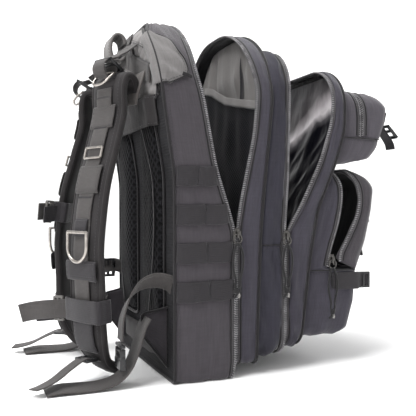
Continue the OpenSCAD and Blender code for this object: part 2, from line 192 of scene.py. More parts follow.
class Outline:
    """A layer's outline seen from the front: straight sides, a round crown and small round lower corners."""

    def __init__(self, size, bottom_r=12, step=3.0):
        self.w, self.h, self.r, self.z0 = size
        self.rb = bottom_r
        w, h, r, z0, rb = self.w / 2, self.h, self.r, self.z0, self.rb
        quarter = np.linspace(0, math.pi / 2, 25)
        right = [(0, z0)]
        right += [(w - rb + rb * math.sin(t), z0 + rb - rb * math.cos(t)) for t in quarter]
        right += [(w - r + r * math.cos(t), h - r + r * math.sin(t)) for t in quarter]
        right += [(0, h)]
        loop = A(right + [(-x, z) for x, z in right[-2:0:-1]] + [right[0]], float)
        length = run_along(loop)[-1]
        self.s = np.linspace(0, length, 2 * int(length / step / 2), endpoint=False)
        self.p = points_at(loop, self.s)
        t = unit(np.roll(self.p, -2, axis=0) - np.roll(self.p, 2, axis=0))
        self.n = np.stack([t[:, 1], -t[:, 0]], axis=1)

    def half_width(self, z):
        z = np.asarray(z, float)
        w, h, r, z0, rb = self.w / 2, self.h, self.r, self.z0, self.rb
        top = w - r + np.sqrt(np.maximum(r * r - np.maximum(z - h + r, 0) ** 2, 0))
        low = w - rb + np.sqrt(np.maximum(rb * rb - np.maximum(z0 + rb - z, 0) ** 2, 0))
        return np.minimum(top, low)

    def at(self, y, off=0.0):
        """Points of the outline at depth y, moved outward by off."""
        return points(self.p[:, 0] + self.n[:, 0] * off, y, self.p[:, 1] + self.n[:, 1] * off)

    def nearest(self, z, s):
        """The index of the outline's point at height z on side s."""
        return int(np.argmin(np.abs(self.p[:, 1] - z) + np.where(self.p[:, 0] * s > 0, 0, 999)))


# ---- making meshes --------------------------------------------------------------------------------


def place_piece(obj, body):
    """Puts a piece in the scene, on its body."""
    bpy.context.collection.objects.link(obj)
    if body:
        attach(obj, body)
    return obj


def finish_mesh(name, verts, faces, mats, body=None, uv=None, smooth=True):
    mesh = bpy.data.meshes.new(name)
    mesh.from_pydata((np.asarray(verts, float) * MM).tolist(), [], [list(map(int, f)) for f in faces])
    for m in mats if isinstance(mats, (list, tuple)) else [mats]:
        mesh.materials.append(m)
    if smooth:
        mesh.polygons.foreach_set("use_smooth", [True] * len(mesh.polygons))
    if uv is not None:
        layer = mesh.uv_layers.new(name="UVMap")
        loops = np.zeros(len(mesh.loops), np.int32)
        mesh.loops.foreach_get("vertex_index", loops)
        layer.data.foreach_set("uv", (np.asarray(uv)[loops] * MM).astype(np.float32).ravel())
    mesh.update()
    return place_piece(bpy.data.objects.new(name, mesh), body)


def grid(name, P, mats, body, closed=False, toward=None, thick=0.0):
    """A sheet from a grid of points (rows by columns). Its front faces toward at the middle; toward is
    a direction, or a function that gives one for a point."""
    nu, nv = P.shape[:2]
    du = np.linalg.norm(np.diff(P, axis=0), axis=2).mean(1)
    dv = np.linalg.norm(np.diff(P, axis=1), axis=2).mean(0)
    u = np.concatenate([[0], np.cumsum(du)])
    v = np.concatenate([[0], np.cumsum(dv)])
    uv = np.stack(np.broadcast_arrays(u[:, None], v[None, :]), axis=2)
    idx = np.arange(nu * nv).reshape(nu, nv)
    nxt = np.roll(idx, -1, axis=0) if closed else idx[1:]
    cur = idx if closed else idx[:-1]
    faces = np.stack([cur[:, :-1], nxt[:, :-1], nxt[:, 1:], cur[:, 1:]], axis=2).reshape(-1, 4)
    if toward is not None:
        i, j = nu // 2, nv // 2
        i2, j2 = min(i + 1, nu - 1), min(j + 1, nv - 1)
        n = np.cross(P[i2, j] - P[i, j], P[i, j2] - P[i, j])
        want = toward(P[i, j]) if callable(toward) else A(toward, float)
        if np.dot(n, want) < 0:
            faces = faces[:, ::-1]
    obj = finish_mesh(name, P.reshape(-1, 3), faces, mats, body, uv.reshape(-1, 2))
    if thick:
        m = obj.modifiers.new("thickness", "SOLIDIFY")
        m.thickness, m.offset, m.use_even_offset = thick * MM, -1, False
        if isinstance(mats, (list, tuple)) and len(mats) > 1:
            m.material_offset, m.material_offset_rim = 1, 0
    return obj


def tube(name, centre, side, up, section, mat, body, closed=False, scale=None):
    """Sweeps a closed section [(a along side, b along up)] along the centre points. side and up are one
    direction each, or one for every point."""
    n, k = len(centre), len(section)
    side, up = np.broadcast_to(side, (n, 3)), np.broadcast_to(up, (n, 3))
    sec = A(section, float)
    if scale is None:
        scale = np.ones((n, 2))
    P = (centre[:, None, :] + side[:, None, :] * (sec[None, :, :1] * scale[:, None, :1])
         + up[:, None, :] * (sec[None, :, 1:] * scale[:, None, 1:]))
    idx = np.arange(n * k).reshape(n, k)
    cur, nxt = (idx, np.roll(idx, -1, axis=0)) if closed else (idx[:-1], idx[1:])
    faces = np.stack([cur, np.roll(cur, -1, axis=1), np.roll(nxt, -1, axis=1), nxt], axis=2).reshape(-1, 4)
    faces = [list(f) for f in faces]
    if not closed:
        faces += [list(idx[0][::-1]), list(idx[-1])]
    uv = np.stack(np.broadcast_arrays(run_along(centre)[:, None], run_along(sec)[None, :]), axis=2)
    return finish_mesh(name, P.reshape(-1, 3), faces, mat, body, uv.reshape(-1, 2))


def welt(name, c, up, section, mat, body, closed=False):
    """A tube along c that keeps up towards the given direction."""
    return tube(name, c, np.cross(tangents(c, closed), up), up, section, mat, body, closed)


def round_section(r, n=10):
    t = np.linspace(0, 2 * math.pi, n, endpoint=False)
    return np.stack([r * np.cos(t), r * np.sin(t)], axis=1)


def oval_section(a, b, n=8):
    return round_section(1, n) * A([a, b])


def flat_section(w, t, n=3):
    """A webbing's section: flat, with rounded selvedges."""
    half = w / 2 - t / 2
    ang = np.linspace(-math.pi / 2, math.pi / 2, n + 2)
    right = [(half + t / 2 * math.cos(a), t / 2 * math.sin(a)) for a in ang]
    across = np.linspace(half, -half, 7)[1:-1]
    top = [(x, t / 2) for x in across]
    left = [(-half - t / 2 * math.cos(a), -t / 2 * math.sin(a)) for a in ang]
    low = [(x, -t / 2) for x in across[::-1]]
    return right + top + left + low


def ribbon(name, centre, side, width, thick, mat, body, n):
    """A length of webbing along the centre points; side is the direction of its width."""
    c = curve_through(centre, n)
    s = A(side, float)
    s = np.broadcast_to(s, c.shape) if s.ndim == 1 else curve_through(s, n)
    t = tangents(c)
    s = square_to(s, t)
    return tube(name, c, s, np.cross(t, s), flat_section(width, thick), mat, body)


def bars(name, boxes, mat, body, bevel, place):
    """One piece from several rounded bars: boxes are (centre, size[, euler degrees])."""
    bm = bmesh.new()
    for box in boxes:
        centre, size = box[:2]
        m = Matrix.Translation(Vector(centre))
        if len(box) > 2:
            for axis, deg in zip("XYZ", box[2]):
                m = m @ Matrix.Rotation(math.radians(deg), 4, axis)
        m = m @ Matrix.Diagonal((*size, 1))
        bmesh.ops.create_cube(bm, size=1, matrix=m)
    bm.transform(place)
    bm.transform(Matrix.Scale(MM, 4))
    mesh = bpy.data.meshes.new(name)
    bm.to_mesh(mesh)
    bm.free()
    mesh.materials.append(mat)
    mesh.polygons.foreach_set("use_smooth", [True] * len(mesh.polygons))
    obj = place_piece(bpy.data.objects.new(name, mesh), body)
    mod = obj.modifiers.new("bevel", "BEVEL")
    mod.width, mod.segments, mod.limit_method = bevel * MM, 3, "ANGLE"
    mod.harden_normals = False
    return obj


def repeat_shape(name, verts, faces, origins, X, Y, Z, mat, body):
    """Copies a small shape to many places as one mesh; X, Y, Z are each copy's axes."""
    v = A(verts, float)
    P = (origins[:, None] + X[:, None] * v[None, :, :1] + Y[:, None] * v[None, :, 1:2]
         + Z[:, None] * v[None, :, 2:3])
    n = len(v)
    F = [[a + i * n for a in f] for i in range(len(origins)) for f in faces]
    return finish_mesh(name, P.reshape(-1, 3), F, mat, body, smooth=False)


BAR_V = [(-.5, -.5, -.5), (.5, -.5, -.5), (.5, .5, -.5), (-.5, .5, -.5),
         (-.36, -.3, .5), (.36, -.3, .5), (.36, .3, .5), (-.36, .3, .5)]
BAR_F = [(0, 3, 2, 1), (4, 5, 6, 7), (0, 1, 5, 4), (1, 2, 6, 5), (2, 3, 7, 6), (3, 0, 4, 7)]
THREAD_V = [(-.5, 0, 0), (-.25, .5, 0), (-.25, 0, .8), (-.25, -.5, 0),
            (.25, .5, 0), (.25, 0, .8), (.25, -.5, 0), (.5, 0, 0)]
THREAD_F = [(0, 1, 2), (0, 2, 3), (0, 3, 1), (1, 4, 5, 2), (2, 5, 6, 3), (3, 6, 4, 1), (7, 5, 4), (7, 6, 5),
            (7, 4, 6)]
STITCH_PITCH = 4.2
STITCH = (3.0, 0.8, 0.55)      # length, width and height of one stitch


def resample(points, pitch, closed=False):
    """Points spaced about pitch apart along a line."""
    p = np.vstack([points, points[:1]]) if closed else A(points, float)
    length = run_along(p)[-1]
    return points_at(p, np.linspace(0, length, max(2, int(length / pitch)), endpoint=not closed))


def stitches(name, line, normal, body, closed=False):
    """A row of thread stitches along a line lying on cloth."""
    both = resample(np.hstack([line, np.broadcast_to(normal, line.shape)]), STITCH_PITCH, closed)
    c, n = both[:, :3], unit(both[:, 3:])
    t = tangents(c, closed)
    n = square_to(n, t)
    repeat_shape(name, A(THREAD_V) * STITCH, THREAD_F, c, t, np.cross(n, t), n, M_THREAD, body)


# ---- materials ------------------------------------------------------------------------------------


class Nodes:
    """A short way to wire a material's nodes."""

    def __init__(self, name):
        self.mat = bpy.data.materials.new(name)
        self.mat.use_nodes = True
        self.tree = self.mat.node_tree
        self.tree.nodes.clear()
        self.out = self.tree.nodes.new("ShaderNodeOutputMaterial")
        self.bsdf = self.tree.nodes.new("ShaderNodeBsdfPrincipled")
        self.link(self.bsdf.outputs[0], self.out.inputs[0])

    def link(self, a, b):
        self.tree.links.new(a, b)

    def node(self, kind, **values):
        n = self.tree.nodes.new("ShaderNode" + kind)
        for k, v in values.items():
            if k in n.inputs:
                if isinstance(v, bpy.types.NodeSocket):
                    self.link(v, n.inputs[k])
                else:
                    n.inputs[k].default_value = v
            else:
                setattr(n, k, v)
        return n

    def math(self, op, a, b=0.0, clamp=False):
        n = self.tree.nodes.new("ShaderNodeMath")
        n.operation, n.use_clamp = op, clamp
        for i, v in enumerate((a, b)):
            if isinstance(v, bpy.types.NodeSocket):
                self.link(v, n.inputs[i])
            else:
                n.inputs[i].default_value = v
        return n.outputs[0]

    def weighted(self, *parts):
        """The sum of some values, each times its weight."""
        total = None
        for value, weight in parts:
            part = self.math("MULTIPLY", value, weight)
            total = part if total is None else self.math("ADD", total, part)
        return total

    def space(self, uv):
        """Coordinates in millimetres: the cloth's own, or the row frame's."""
        tc = self.node("TexCoord")
        m = self.node("Mapping")
        m.inputs["Scale"].default_value = (1000, 1000, 1000)
        self.link(tc.outputs["UV" if uv else "Object"], m.inputs["Vector"])
        return m.outputs[0]

    def scaled(self, vector, scale, turn=0.0):
        m = self.node("Mapping", Vector=vector)
        m.inputs["Scale"].default_value = scale
        m.inputs["Rotation"].default_value = (0, 0, turn)
        return m.outputs[0]

    def noise(self, vector, scale, detail=2.0, rough=0.5):
        """Noise whose scale is given along each axis, per mm."""
        n = self.node("TexNoise", Vector=self.scaled(vector, scale))
        n.inputs["Scale"].default_value = 1.0
        n.inputs["Detail"].default_value = detail
        n.inputs["Roughness"].default_value = rough
        return n.outputs["Fac"]

    def bands(self, vector, period, axis="X", distort=0.0):
        """A sine of that period in mm along one axis, 0 to 1."""
        n = self.node("TexWave", Vector=vector)
        n.wave_type, n.bands_direction, n.wave_profile = "BANDS", axis, "SIN"
        n.inputs["Scale"].default_value = 2 * math.pi / period / 20
        n.inputs["Distortion"].default_value = distort
        n.inputs["Detail"].default_value = 1
        return n.outputs["Fac"]

    def ramp(self, fac, stops):
        n = self.node("ValToRGB", Fac=fac)
        e = n.color_ramp.elements
        while len(e) < len(stops):
            e.new(0.5)
        for el, (pos, col) in zip(e, stops):
            el.position = pos
            el.color = (*col, 1) if len(col) == 3 else col
        return n.outputs["Color"]

    def mix(self, fac, a, b, blend="MIX"):
        n = self.tree.nodes.new("ShaderNodeMix")
        n.data_type, n.blend_type = "RGBA", blend
        for socket, v in ((n.inputs[0], fac), (n.inputs[6], a), (n.inputs[7], b)):
            if isinstance(v, bpy.types.NodeSocket):
                self.link(v, socket)
            else:
                socket.default_value = v if not isinstance(v, tuple) or len(v) == 4 else (*v, 1)
        return n.outputs[2]

    def bump(self, height, strength, distance, under=None):
        n = self.node("Bump", Height=height)
        n.inputs["Strength"].default_value = strength
        n.inputs["Distance"].default_value = distance * MM
        if under is not None:
            self.link(under, n.inputs["Normal"])
        return n.outputs[0]

    def done(self, colour, rough, normal=None, **fixed):
        self.link(colour, self.bsdf.inputs["Base Color"])
        if isinstance(rough, bpy.types.NodeSocket):
            self.link(rough, self.bsdf.inputs["Roughness"])
        else:
            self.bsdf.inputs["Roughness"].default_value = rough
        if normal is not None:
            self.link(normal, self.bsdf.inputs["Normal"])
        for k, v in fixed.items():
            self.bsdf.inputs[k].default_value = v
        return self.mat


def tone(c, k):
    return tuple(min(1.0, x * k) for x in c)


def cloth(name, colour, thread=1.15, streak=0.32, sheen=0.25, rough=0.86, depth=0.5, folds=0.5):
    """Coarse coated nylon: a plain weave with uneven, mostly lengthwise threads."""
    k = Nodes(name)
    p = k.space(True)
    over = k.bands(p, thread, "X", 0.6)
    under = k.bands(p, thread * 1.25, "Y", 0.6)
    weave = k.math("MULTIPLY", k.math("ADD", over, under), 0.5)
    slub = k.noise(p, (0.035, 0.42, 0.1), 3.0, 0.6)      # long streaks
    cross = k.noise(p, (0.4, 0.05, 0.1))
    cloud = k.noise(p, (0.012, 0.012, 0.012))  # faded patches
    f = k.weighted((slub, 0.55), (cross, 0.25), (weave, 0.2))
    base = k.ramp(f, [(0.3, tone(colour, 1 - streak)), (0.5, colour), (0.72, tone(colour, 1 + streak * 1.1))])
    base = k.mix(k.math("MULTIPLY", cloud, 0.5), base, tone(colour, 1.18), "MIX")
    normal = k.bump(k.weighted((weave, 0.6), (slub, 0.8)), 0.55, depth)
    soft = k.noise(p, (0.03, 0.09, 0.05))
    normal = k.bump(soft, folds, 2.2, normal)
    return k.done(base, rough, normal, **{"Sheen Weight": sheen, "Sheen Roughness": 0.45,
                                          "Specular IOR Level": 0.3})


def webbing_cloth(name, colour):
    """Heavy flat webbing: fine ribs across its length, and fainter lines along it."""
    k = Nodes(name)
    p = k.space(True)
    rib = k.bands(p, 1.5, "X", 0.3)
    lengthwise = k.bands(p, 2.4, "Y", 0.2)
    grain = k.noise(p, (0.5, 0.12, 0.2), 3.0, 0.6)
    cloud = k.noise(p, (0.02, 0.05, 0.02))
    f = k.weighted((rib, 0.3), (grain, 0.5), (cloud, 0.2))
    base = k.ramp(f, [(0.3, tone(colour, 0.72)), (0.5, colour), (0.72, tone(colour, 1.3))])
    h = k.math("ADD", rib, k.math("MULTIPLY", lengthwise, 0.5))
    return k.done(base, 0.7, k.bump(h, 0.6, 0.5), **{"Sheen Weight": 0.2, "Sheen Roughness": 0.4,
                                                     "Specular IOR Level": 0.35})


def mesh_cloth(name, dark, light, cell, turn=math.pi / 4):
    """Open mesh: a lattice of light threads round dark holes."""
    k = Nodes(name)
    p = k.space(False)
    sep = k.node("SeparateXYZ", Vector=p)
    flat = k.node("CombineXYZ")
    k.link(sep.outputs["X"], flat.inputs["X"])
    k.link(sep.outputs["Z"], flat.inputs["Y"])
    q = k.scaled(flat.outputs[0], (1, 0.62, 1))
    a = k.bands(k.scaled(q, (1, 1, 1), turn), cell, "X", 0.15)
    b = k.bands(k.scaled(q, (1, 1, 1), -turn), cell, "X", 0.15)
    threads = k.math("MAXIMUM", a, b)
    cloud = k.noise(p, (0.03, 0.03, 0.03))
    f = k.math("MULTIPLY", threads, k.math("ADD", k.math("MULTIPLY", cloud, 0.5), 0.75))
    base = k.ramp(f, [(0.66, dark), (0.95, light)])
    return k.done(base, 0.7, k.bump(threads, 0.9, 1.2), **{"Sheen Weight": 0.02, "Sheen Roughness": 0.5,
                                                          "Specular IOR Level": 0.1})


def coated_lining(name, colour):
    """Thin coated lining: smooth and shiny, with small crumples."""
    k = Nodes(name)
    p = k.space(False)
    crumple = k.noise(p, (0.03, 0.03, 0.02), 4.0, 0.6)
    fine = k.noise(p, (0.5, 0.5, 0.5))
    base = k.ramp(crumple, [(0.3, tone(colour, 0.7)), (0.7, tone(colour, 1.5))])
    r = k.math("ADD", k.math("MULTIPLY", fine, 0.12), 0.27)
    normal = k.bump(crumple, 0.8, 6.0, k.bump(fine, 0.15, 0.3))
    return k.done(base, r, normal, **{"Specular IOR Level": 0.55, "Coat Weight": 0.15, "Coat Roughness": 0.3})


def folded_lining(name):
    """The flap's thin coated lining: black where it hangs down, with a painted highlight along the fold that
    climbs across it, and painted light, grey, above the fold."""
    k = Nodes(name)
    p = k.space(False)
    crumple = k.noise(p, (0.022, 0.022, 0.012), 3.0, 0.55)
    fine = k.noise(p, (0.5, 0.5, 0.5))
    sep = k.node("SeparateXYZ", Vector=p)
    slope = k.math("ADD", sep.outputs["Z"], k.math("MULTIPLY", sep.outputs["X"], 0.5))
    climb = k.math("SUBTRACT", slope, 322.0)
    climb = k.math("ADD", climb, k.math("MULTIPLY", k.math("SUBTRACT", crumple, 0.5), 46.0))
    f = k.math("ADD", k.math("DIVIDE", climb, 200.0), 0.5, clamp=True)
    dark = (0.0018, 0.0018, 0.0036)
    # painted highlight: the pale band stands for light on the fold's top, and the grey above it for light on
    # cloth that faces up; the near black is the lining's own colour
    base = k.ramp(f, [(0.0, dark), (0.44, (0.003, 0.003, 0.0055)), (0.49, (0.08, 0.076, 0.082)),
                      (0.54, (0.56, 0.53, 0.545)), (0.6, (0.3, 0.28, 0.29)), (0.67, (0.06, 0.055, 0.058)),
                      (1.0, (0.008, 0.008, 0.011))])
    veins = k.noise(p, (0.06, 0.06, 0.009), 3.0, 0.6)
    veins = k.ramp(veins, [(0.58, (0, 0, 0)), (0.74, (1, 1, 1))])
    base = k.mix(k.math("MULTIPLY", veins, 0.25), base, (0.03, 0.0295, 0.037))
    r = k.math("ADD", k.math("MULTIPLY", fine, 0.12), 0.24)
    normal = k.bump(crumple, 0.6, 5.0, k.bump(fine, 0.15, 0.3))
    return k.done(base, r, normal, **{"Specular IOR Level": 0.14})


def plain_cloth(name, colour):
    return cloth(name, colour, thread=0.8, streak=0.1, sheen=0.15, rough=0.8, depth=0.2, folds=0.35)


def metal(name, colour, rough):
    k = Nodes(name)
    p = k.space(False)
    brushed = k.noise(p, (0.4, 0.4, 3.0), 3.0, 0.6)
    worn = k.noise(p, (0.12, 0.12, 0.12), 3.0, 0.6)
    base = k.ramp(worn, [(0.35, tone(colour, 0.8)), (0.65, tone(colour, 1.15))])
    r = k.math("ADD", k.math("MULTIPLY", brushed, 0.25), rough - 0.125)
    return k.done(base, r, k.bump(brushed, 0.12, 0.2), **{"Metallic": 1.0})


def plastic(name, colour, rough=0.38):
    k = Nodes(name)
    p = k.space(False)
    grain = k.noise(p, (1.6, 1.6, 1.6))
    worn = k.noise(p, (0.08, 0.08, 0.08), 3.0, 0.6)
    base = k.ramp(worn, [(0.35, tone(colour, 0.75)), (0.68, tone(colour, 1.5))])
    r = k.math("ADD", k.math("MULTIPLY", worn, 0.2), rough - 0.1)
    return k.done(base, r, k.bump(grain, 0.15, 0.15), **{"Specular IOR Level": 0.5})


def braid(name, colour):
    """Round braided cord: one set of slanting strands."""
    k = Nodes(name)
    p = k.space(False)
    a = k.bands(p, 1.4, "DIAGONAL", 0.4)
    grain = k.noise(p, (0.7, 0.7, 0.7))
    f = k.weighted((a, 0.6), (grain, 0.4))
    base = k.ramp(f, [(0.25, tone(colour, 0.6)), (0.75, tone(colour, 1.4))])
    return k.done(base, 0.8, k.bump(a, 0.5, 0.3), **{"Sheen Weight": 0.25, "Sheen Roughness": 0.4,
                                                     "Specular IOR Level": 0.3})


NYLON = (0.043, 0.038, 0.044)
M_CLOTH = cloth("pack_nylon", NYLON)
M_CLOTH_FRONT = cloth("pack_nylon_front", (0.0355, 0.0325, 0.0435), streak=0.36)
M_CLOTH_DARK = cloth("pack_nylon_shaded", tone(NYLON, 0.72))
M_CLOTH_ORG = cloth("pack_nylon_middle", (0.021, 0.0198, 0.0285), streak=0.4, sheen=0.16)
M_CLOTH_TOP = cloth("pack_nylon_upper", (0.06, 0.0545, 0.0645))
# painted light: the yoke, its ends and the handle are lighter copies of the pack nylon, standing for the
# light that falls on their tops from above
M_YOKE_SIDE = cloth("yoke_side_nylon", (0.128, 0.122, 0.121), streak=0.26, folds=1.0, sheen=0.15)
M_YOKE = cloth("yoke_nylon", (0.195, 0.185, 0.183), streak=0.22, folds=1.0, sheen=0.15)
M_HANDLE = cloth("handle_nylon", (0.118, 0.111, 0.108), streak=0.16)
M_BIND = cloth("binding_tape", tone(NYLON, 0.22), thread=0.9, streak=0.2)
M_TAPE = webbing_cloth("zip_tape", (0.088, 0.082, 0.088))
M_WEB = webbing_cloth("webbing_nylon", (0.0165, 0.0142, 0.017))
M_WEB_LIGHT = webbing_cloth("webbing_worn", (0.047, 0.0425, 0.0415))
M_STRAP = cloth("strap_nylon", (0.0178, 0.0158, 0.0165), streak=0.34, sheen=0.1)
M_STRAP_EDGE = cloth("strap_edge_nylon", (0.016, 0.014, 0.0145), streak=0.3, sheen=0.1)
M_MESH = mesh_cloth("air_mesh", (0.0012, 0.0012, 0.0016), (0.0105, 0.0102, 0.012), 5.0)
M_POCKET_MESH = mesh_cloth("pocket_mesh", (0.001, 0.001, 0.0018), (0.0042, 0.0042, 0.0072), 3.0,
                           turn=math.pi / 3)
M_BACK_MESH = mesh_cloth("back_mesh", (0.0014, 0.0014, 0.002), (0.03, 0.029, 0.032), 3.2)
M_LINING = coated_lining("coated_lining", (0.006, 0.006, 0.01))
# the flap's loose lining, with a painted highlight along its fold and painted light above it
M_LINING_PAINTED_LIGHT = folded_lining("coated_lining_painted_highlight")
M_DARK = plain_cloth("lining_black", (0.0035, 0.0035, 0.005))
M_GREY = plain_cloth("lining_grey", (0.165, 0.157, 0.153))
# a dark copy of the lining: painted shade for the inside of the pleat
M_PLEAT_SHADE = plain_cloth("lining_pleat_painted_shade", (0.022, 0.021, 0.024))
M_COIL = plastic("zip_coil", (0.21, 0.203, 0.212), 0.28)
M_BED = plastic("zip_bed", (0.006, 0.006, 0.007), 0.5)
M_GUN = metal("gunmetal", (0.11, 0.105, 0.1), 0.28)
M_STEEL = metal("steel_wire", (0.42, 0.39, 0.36), 0.3)
M_BUCKLE = plastic("buckle_plastic", (0.01, 0.01, 0.011), 0.3)
M_BUCKLE_GREY = plastic("buckle_grey", (0.1, 0.095, 0.09), 0.35)
M_YOKE_LOW = cloth("root_cover_nylon", (0.075, 0.067, 0.063), streak=0.2, folds=1.0)
M_CORD = braid("pull_cord", (0.014, 0.0135, 0.0145))
M_FRAY = braid("cord_ends", (0.28, 0.27, 0.26))
M_THREAD = plastic("sewing_thread", (0.03, 0.028, 0.031), 0.6)
M_BOARD = plastic("frame_board", (0.02, 0.02, 0.022), 0.5)

# ---- layers ---------------------------------------------------------------------------------------


def outward_of(centre):
    """A direction field that points away from a centre, for turning faces the right way."""
    c = A(centre, float)
    return lambda p: (p - c) * (1, 0, 1)


def cloth_bulge(t, amount):
    """How far cloth stands out between two seams, at t from 0 to 1 across it."""
    return amount * np.sin(math.pi * np.clip(t, 0, 1)) ** 0.55


# The two kinds of zip, in mm. rise is the tape's height across its width. seam, stitches and seat (of
# the teeth) are how far behind the edge and how high they lie; bed is a row of each. seam ends with its
# radius.
EDGE_ZIP = {"rise": (1.5, 1.7, 1.2, 0.7, 0.4), "seam": (TAPE + 0.6, 1.1, 1.5),
            "stitches": (TAPE - 1.4, 1.9), "bed": ((-4.6, -2.2, 0.3), (1.5, 1.3, 0.7)), "pitch": 3.0,
            "tooth": (4.4, 1.5, 1.7), "seat": (1.9, 1.6)}
POCKET_ZIP = {"rise": (2.6, 2.7, 2.3, 1.8, 1.4), "seam": (TAPE + 0.4, 2.6, 1.3),
              "stitches": (TAPE - 1.2, 3.1), "bed": ((-4.2, -2.0, 0.3), (2.6, 2.3, 1.7)), "pitch": 2.9,
              "tooth": (4.0, 1.4, 1.6), "seat": (1.7, 2.7)}


def sew_zip(name, c, t, n3, way, body, zmid, closed, kind):
    """A zip along the edge c: its tape, a bound seam behind it, and coil teeth on a dark bed. way is +1
    where the open side lies toward +Y and -1 where it lies toward -Y. Nothing goes through the floor."""
    b = np.cross(t, n3)
    b = b * np.sign((b[:, 1] * way).mean())

    def band(suffix, across, rise, mats, thick, lowest):
        P = c[:, None] + b[:, None] * A(across)[None, :, None] + n3[:, None] * A(rise)[None, :, None]
        P[..., 2] = np.maximum(P[..., 2], lowest)
        grid(f"{name}_{suffix}", P, mats, body, closed=closed, toward=outward_of((0, 0, zmid)),
             thick=thick)

    def line(at, behind, above, lowest):
        places = at[0] - at[1] * behind + at[2] * above
        places[:, 2] = np.maximum(places[:, 2], lowest)
        return places
    band("tape", np.linspace(-TAPE, -0.5, 5), kind["rise"], [M_TAPE, M_TAPE], 0.9, 1.0)
    *place, radius = kind["seam"]
    tube(f"{name}_tape_seam", line((c, b, n3), *place, 1.6), b, n3, round_section(radius, 8), M_BIND, body,
         closed=closed)
    stitches(f"{name}_tape_stitches", line((c, b, n3), *kind["stitches"], 1.6), n3, body, closed)
    band("coil_bed", *kind["bed"], M_BED, 0.5, 1.2)
    both = resample(np.hstack([c, n3, b]), kind["pitch"], closed)
    cc, nn, bb = both[:, :3], unit(both[:, 3:6]), unit(both[:, 6:])
    X = unit(bb + tangents(cc, closed) * 0.5)
    repeat_shape(f"{name}_coil", A(BAR_V) * kind["tooth"], BAR_F, line((cc, bb, nn), *kind["seat"], 1.4), X,
                 np.cross(nn, X), nn, M_COIL, body)


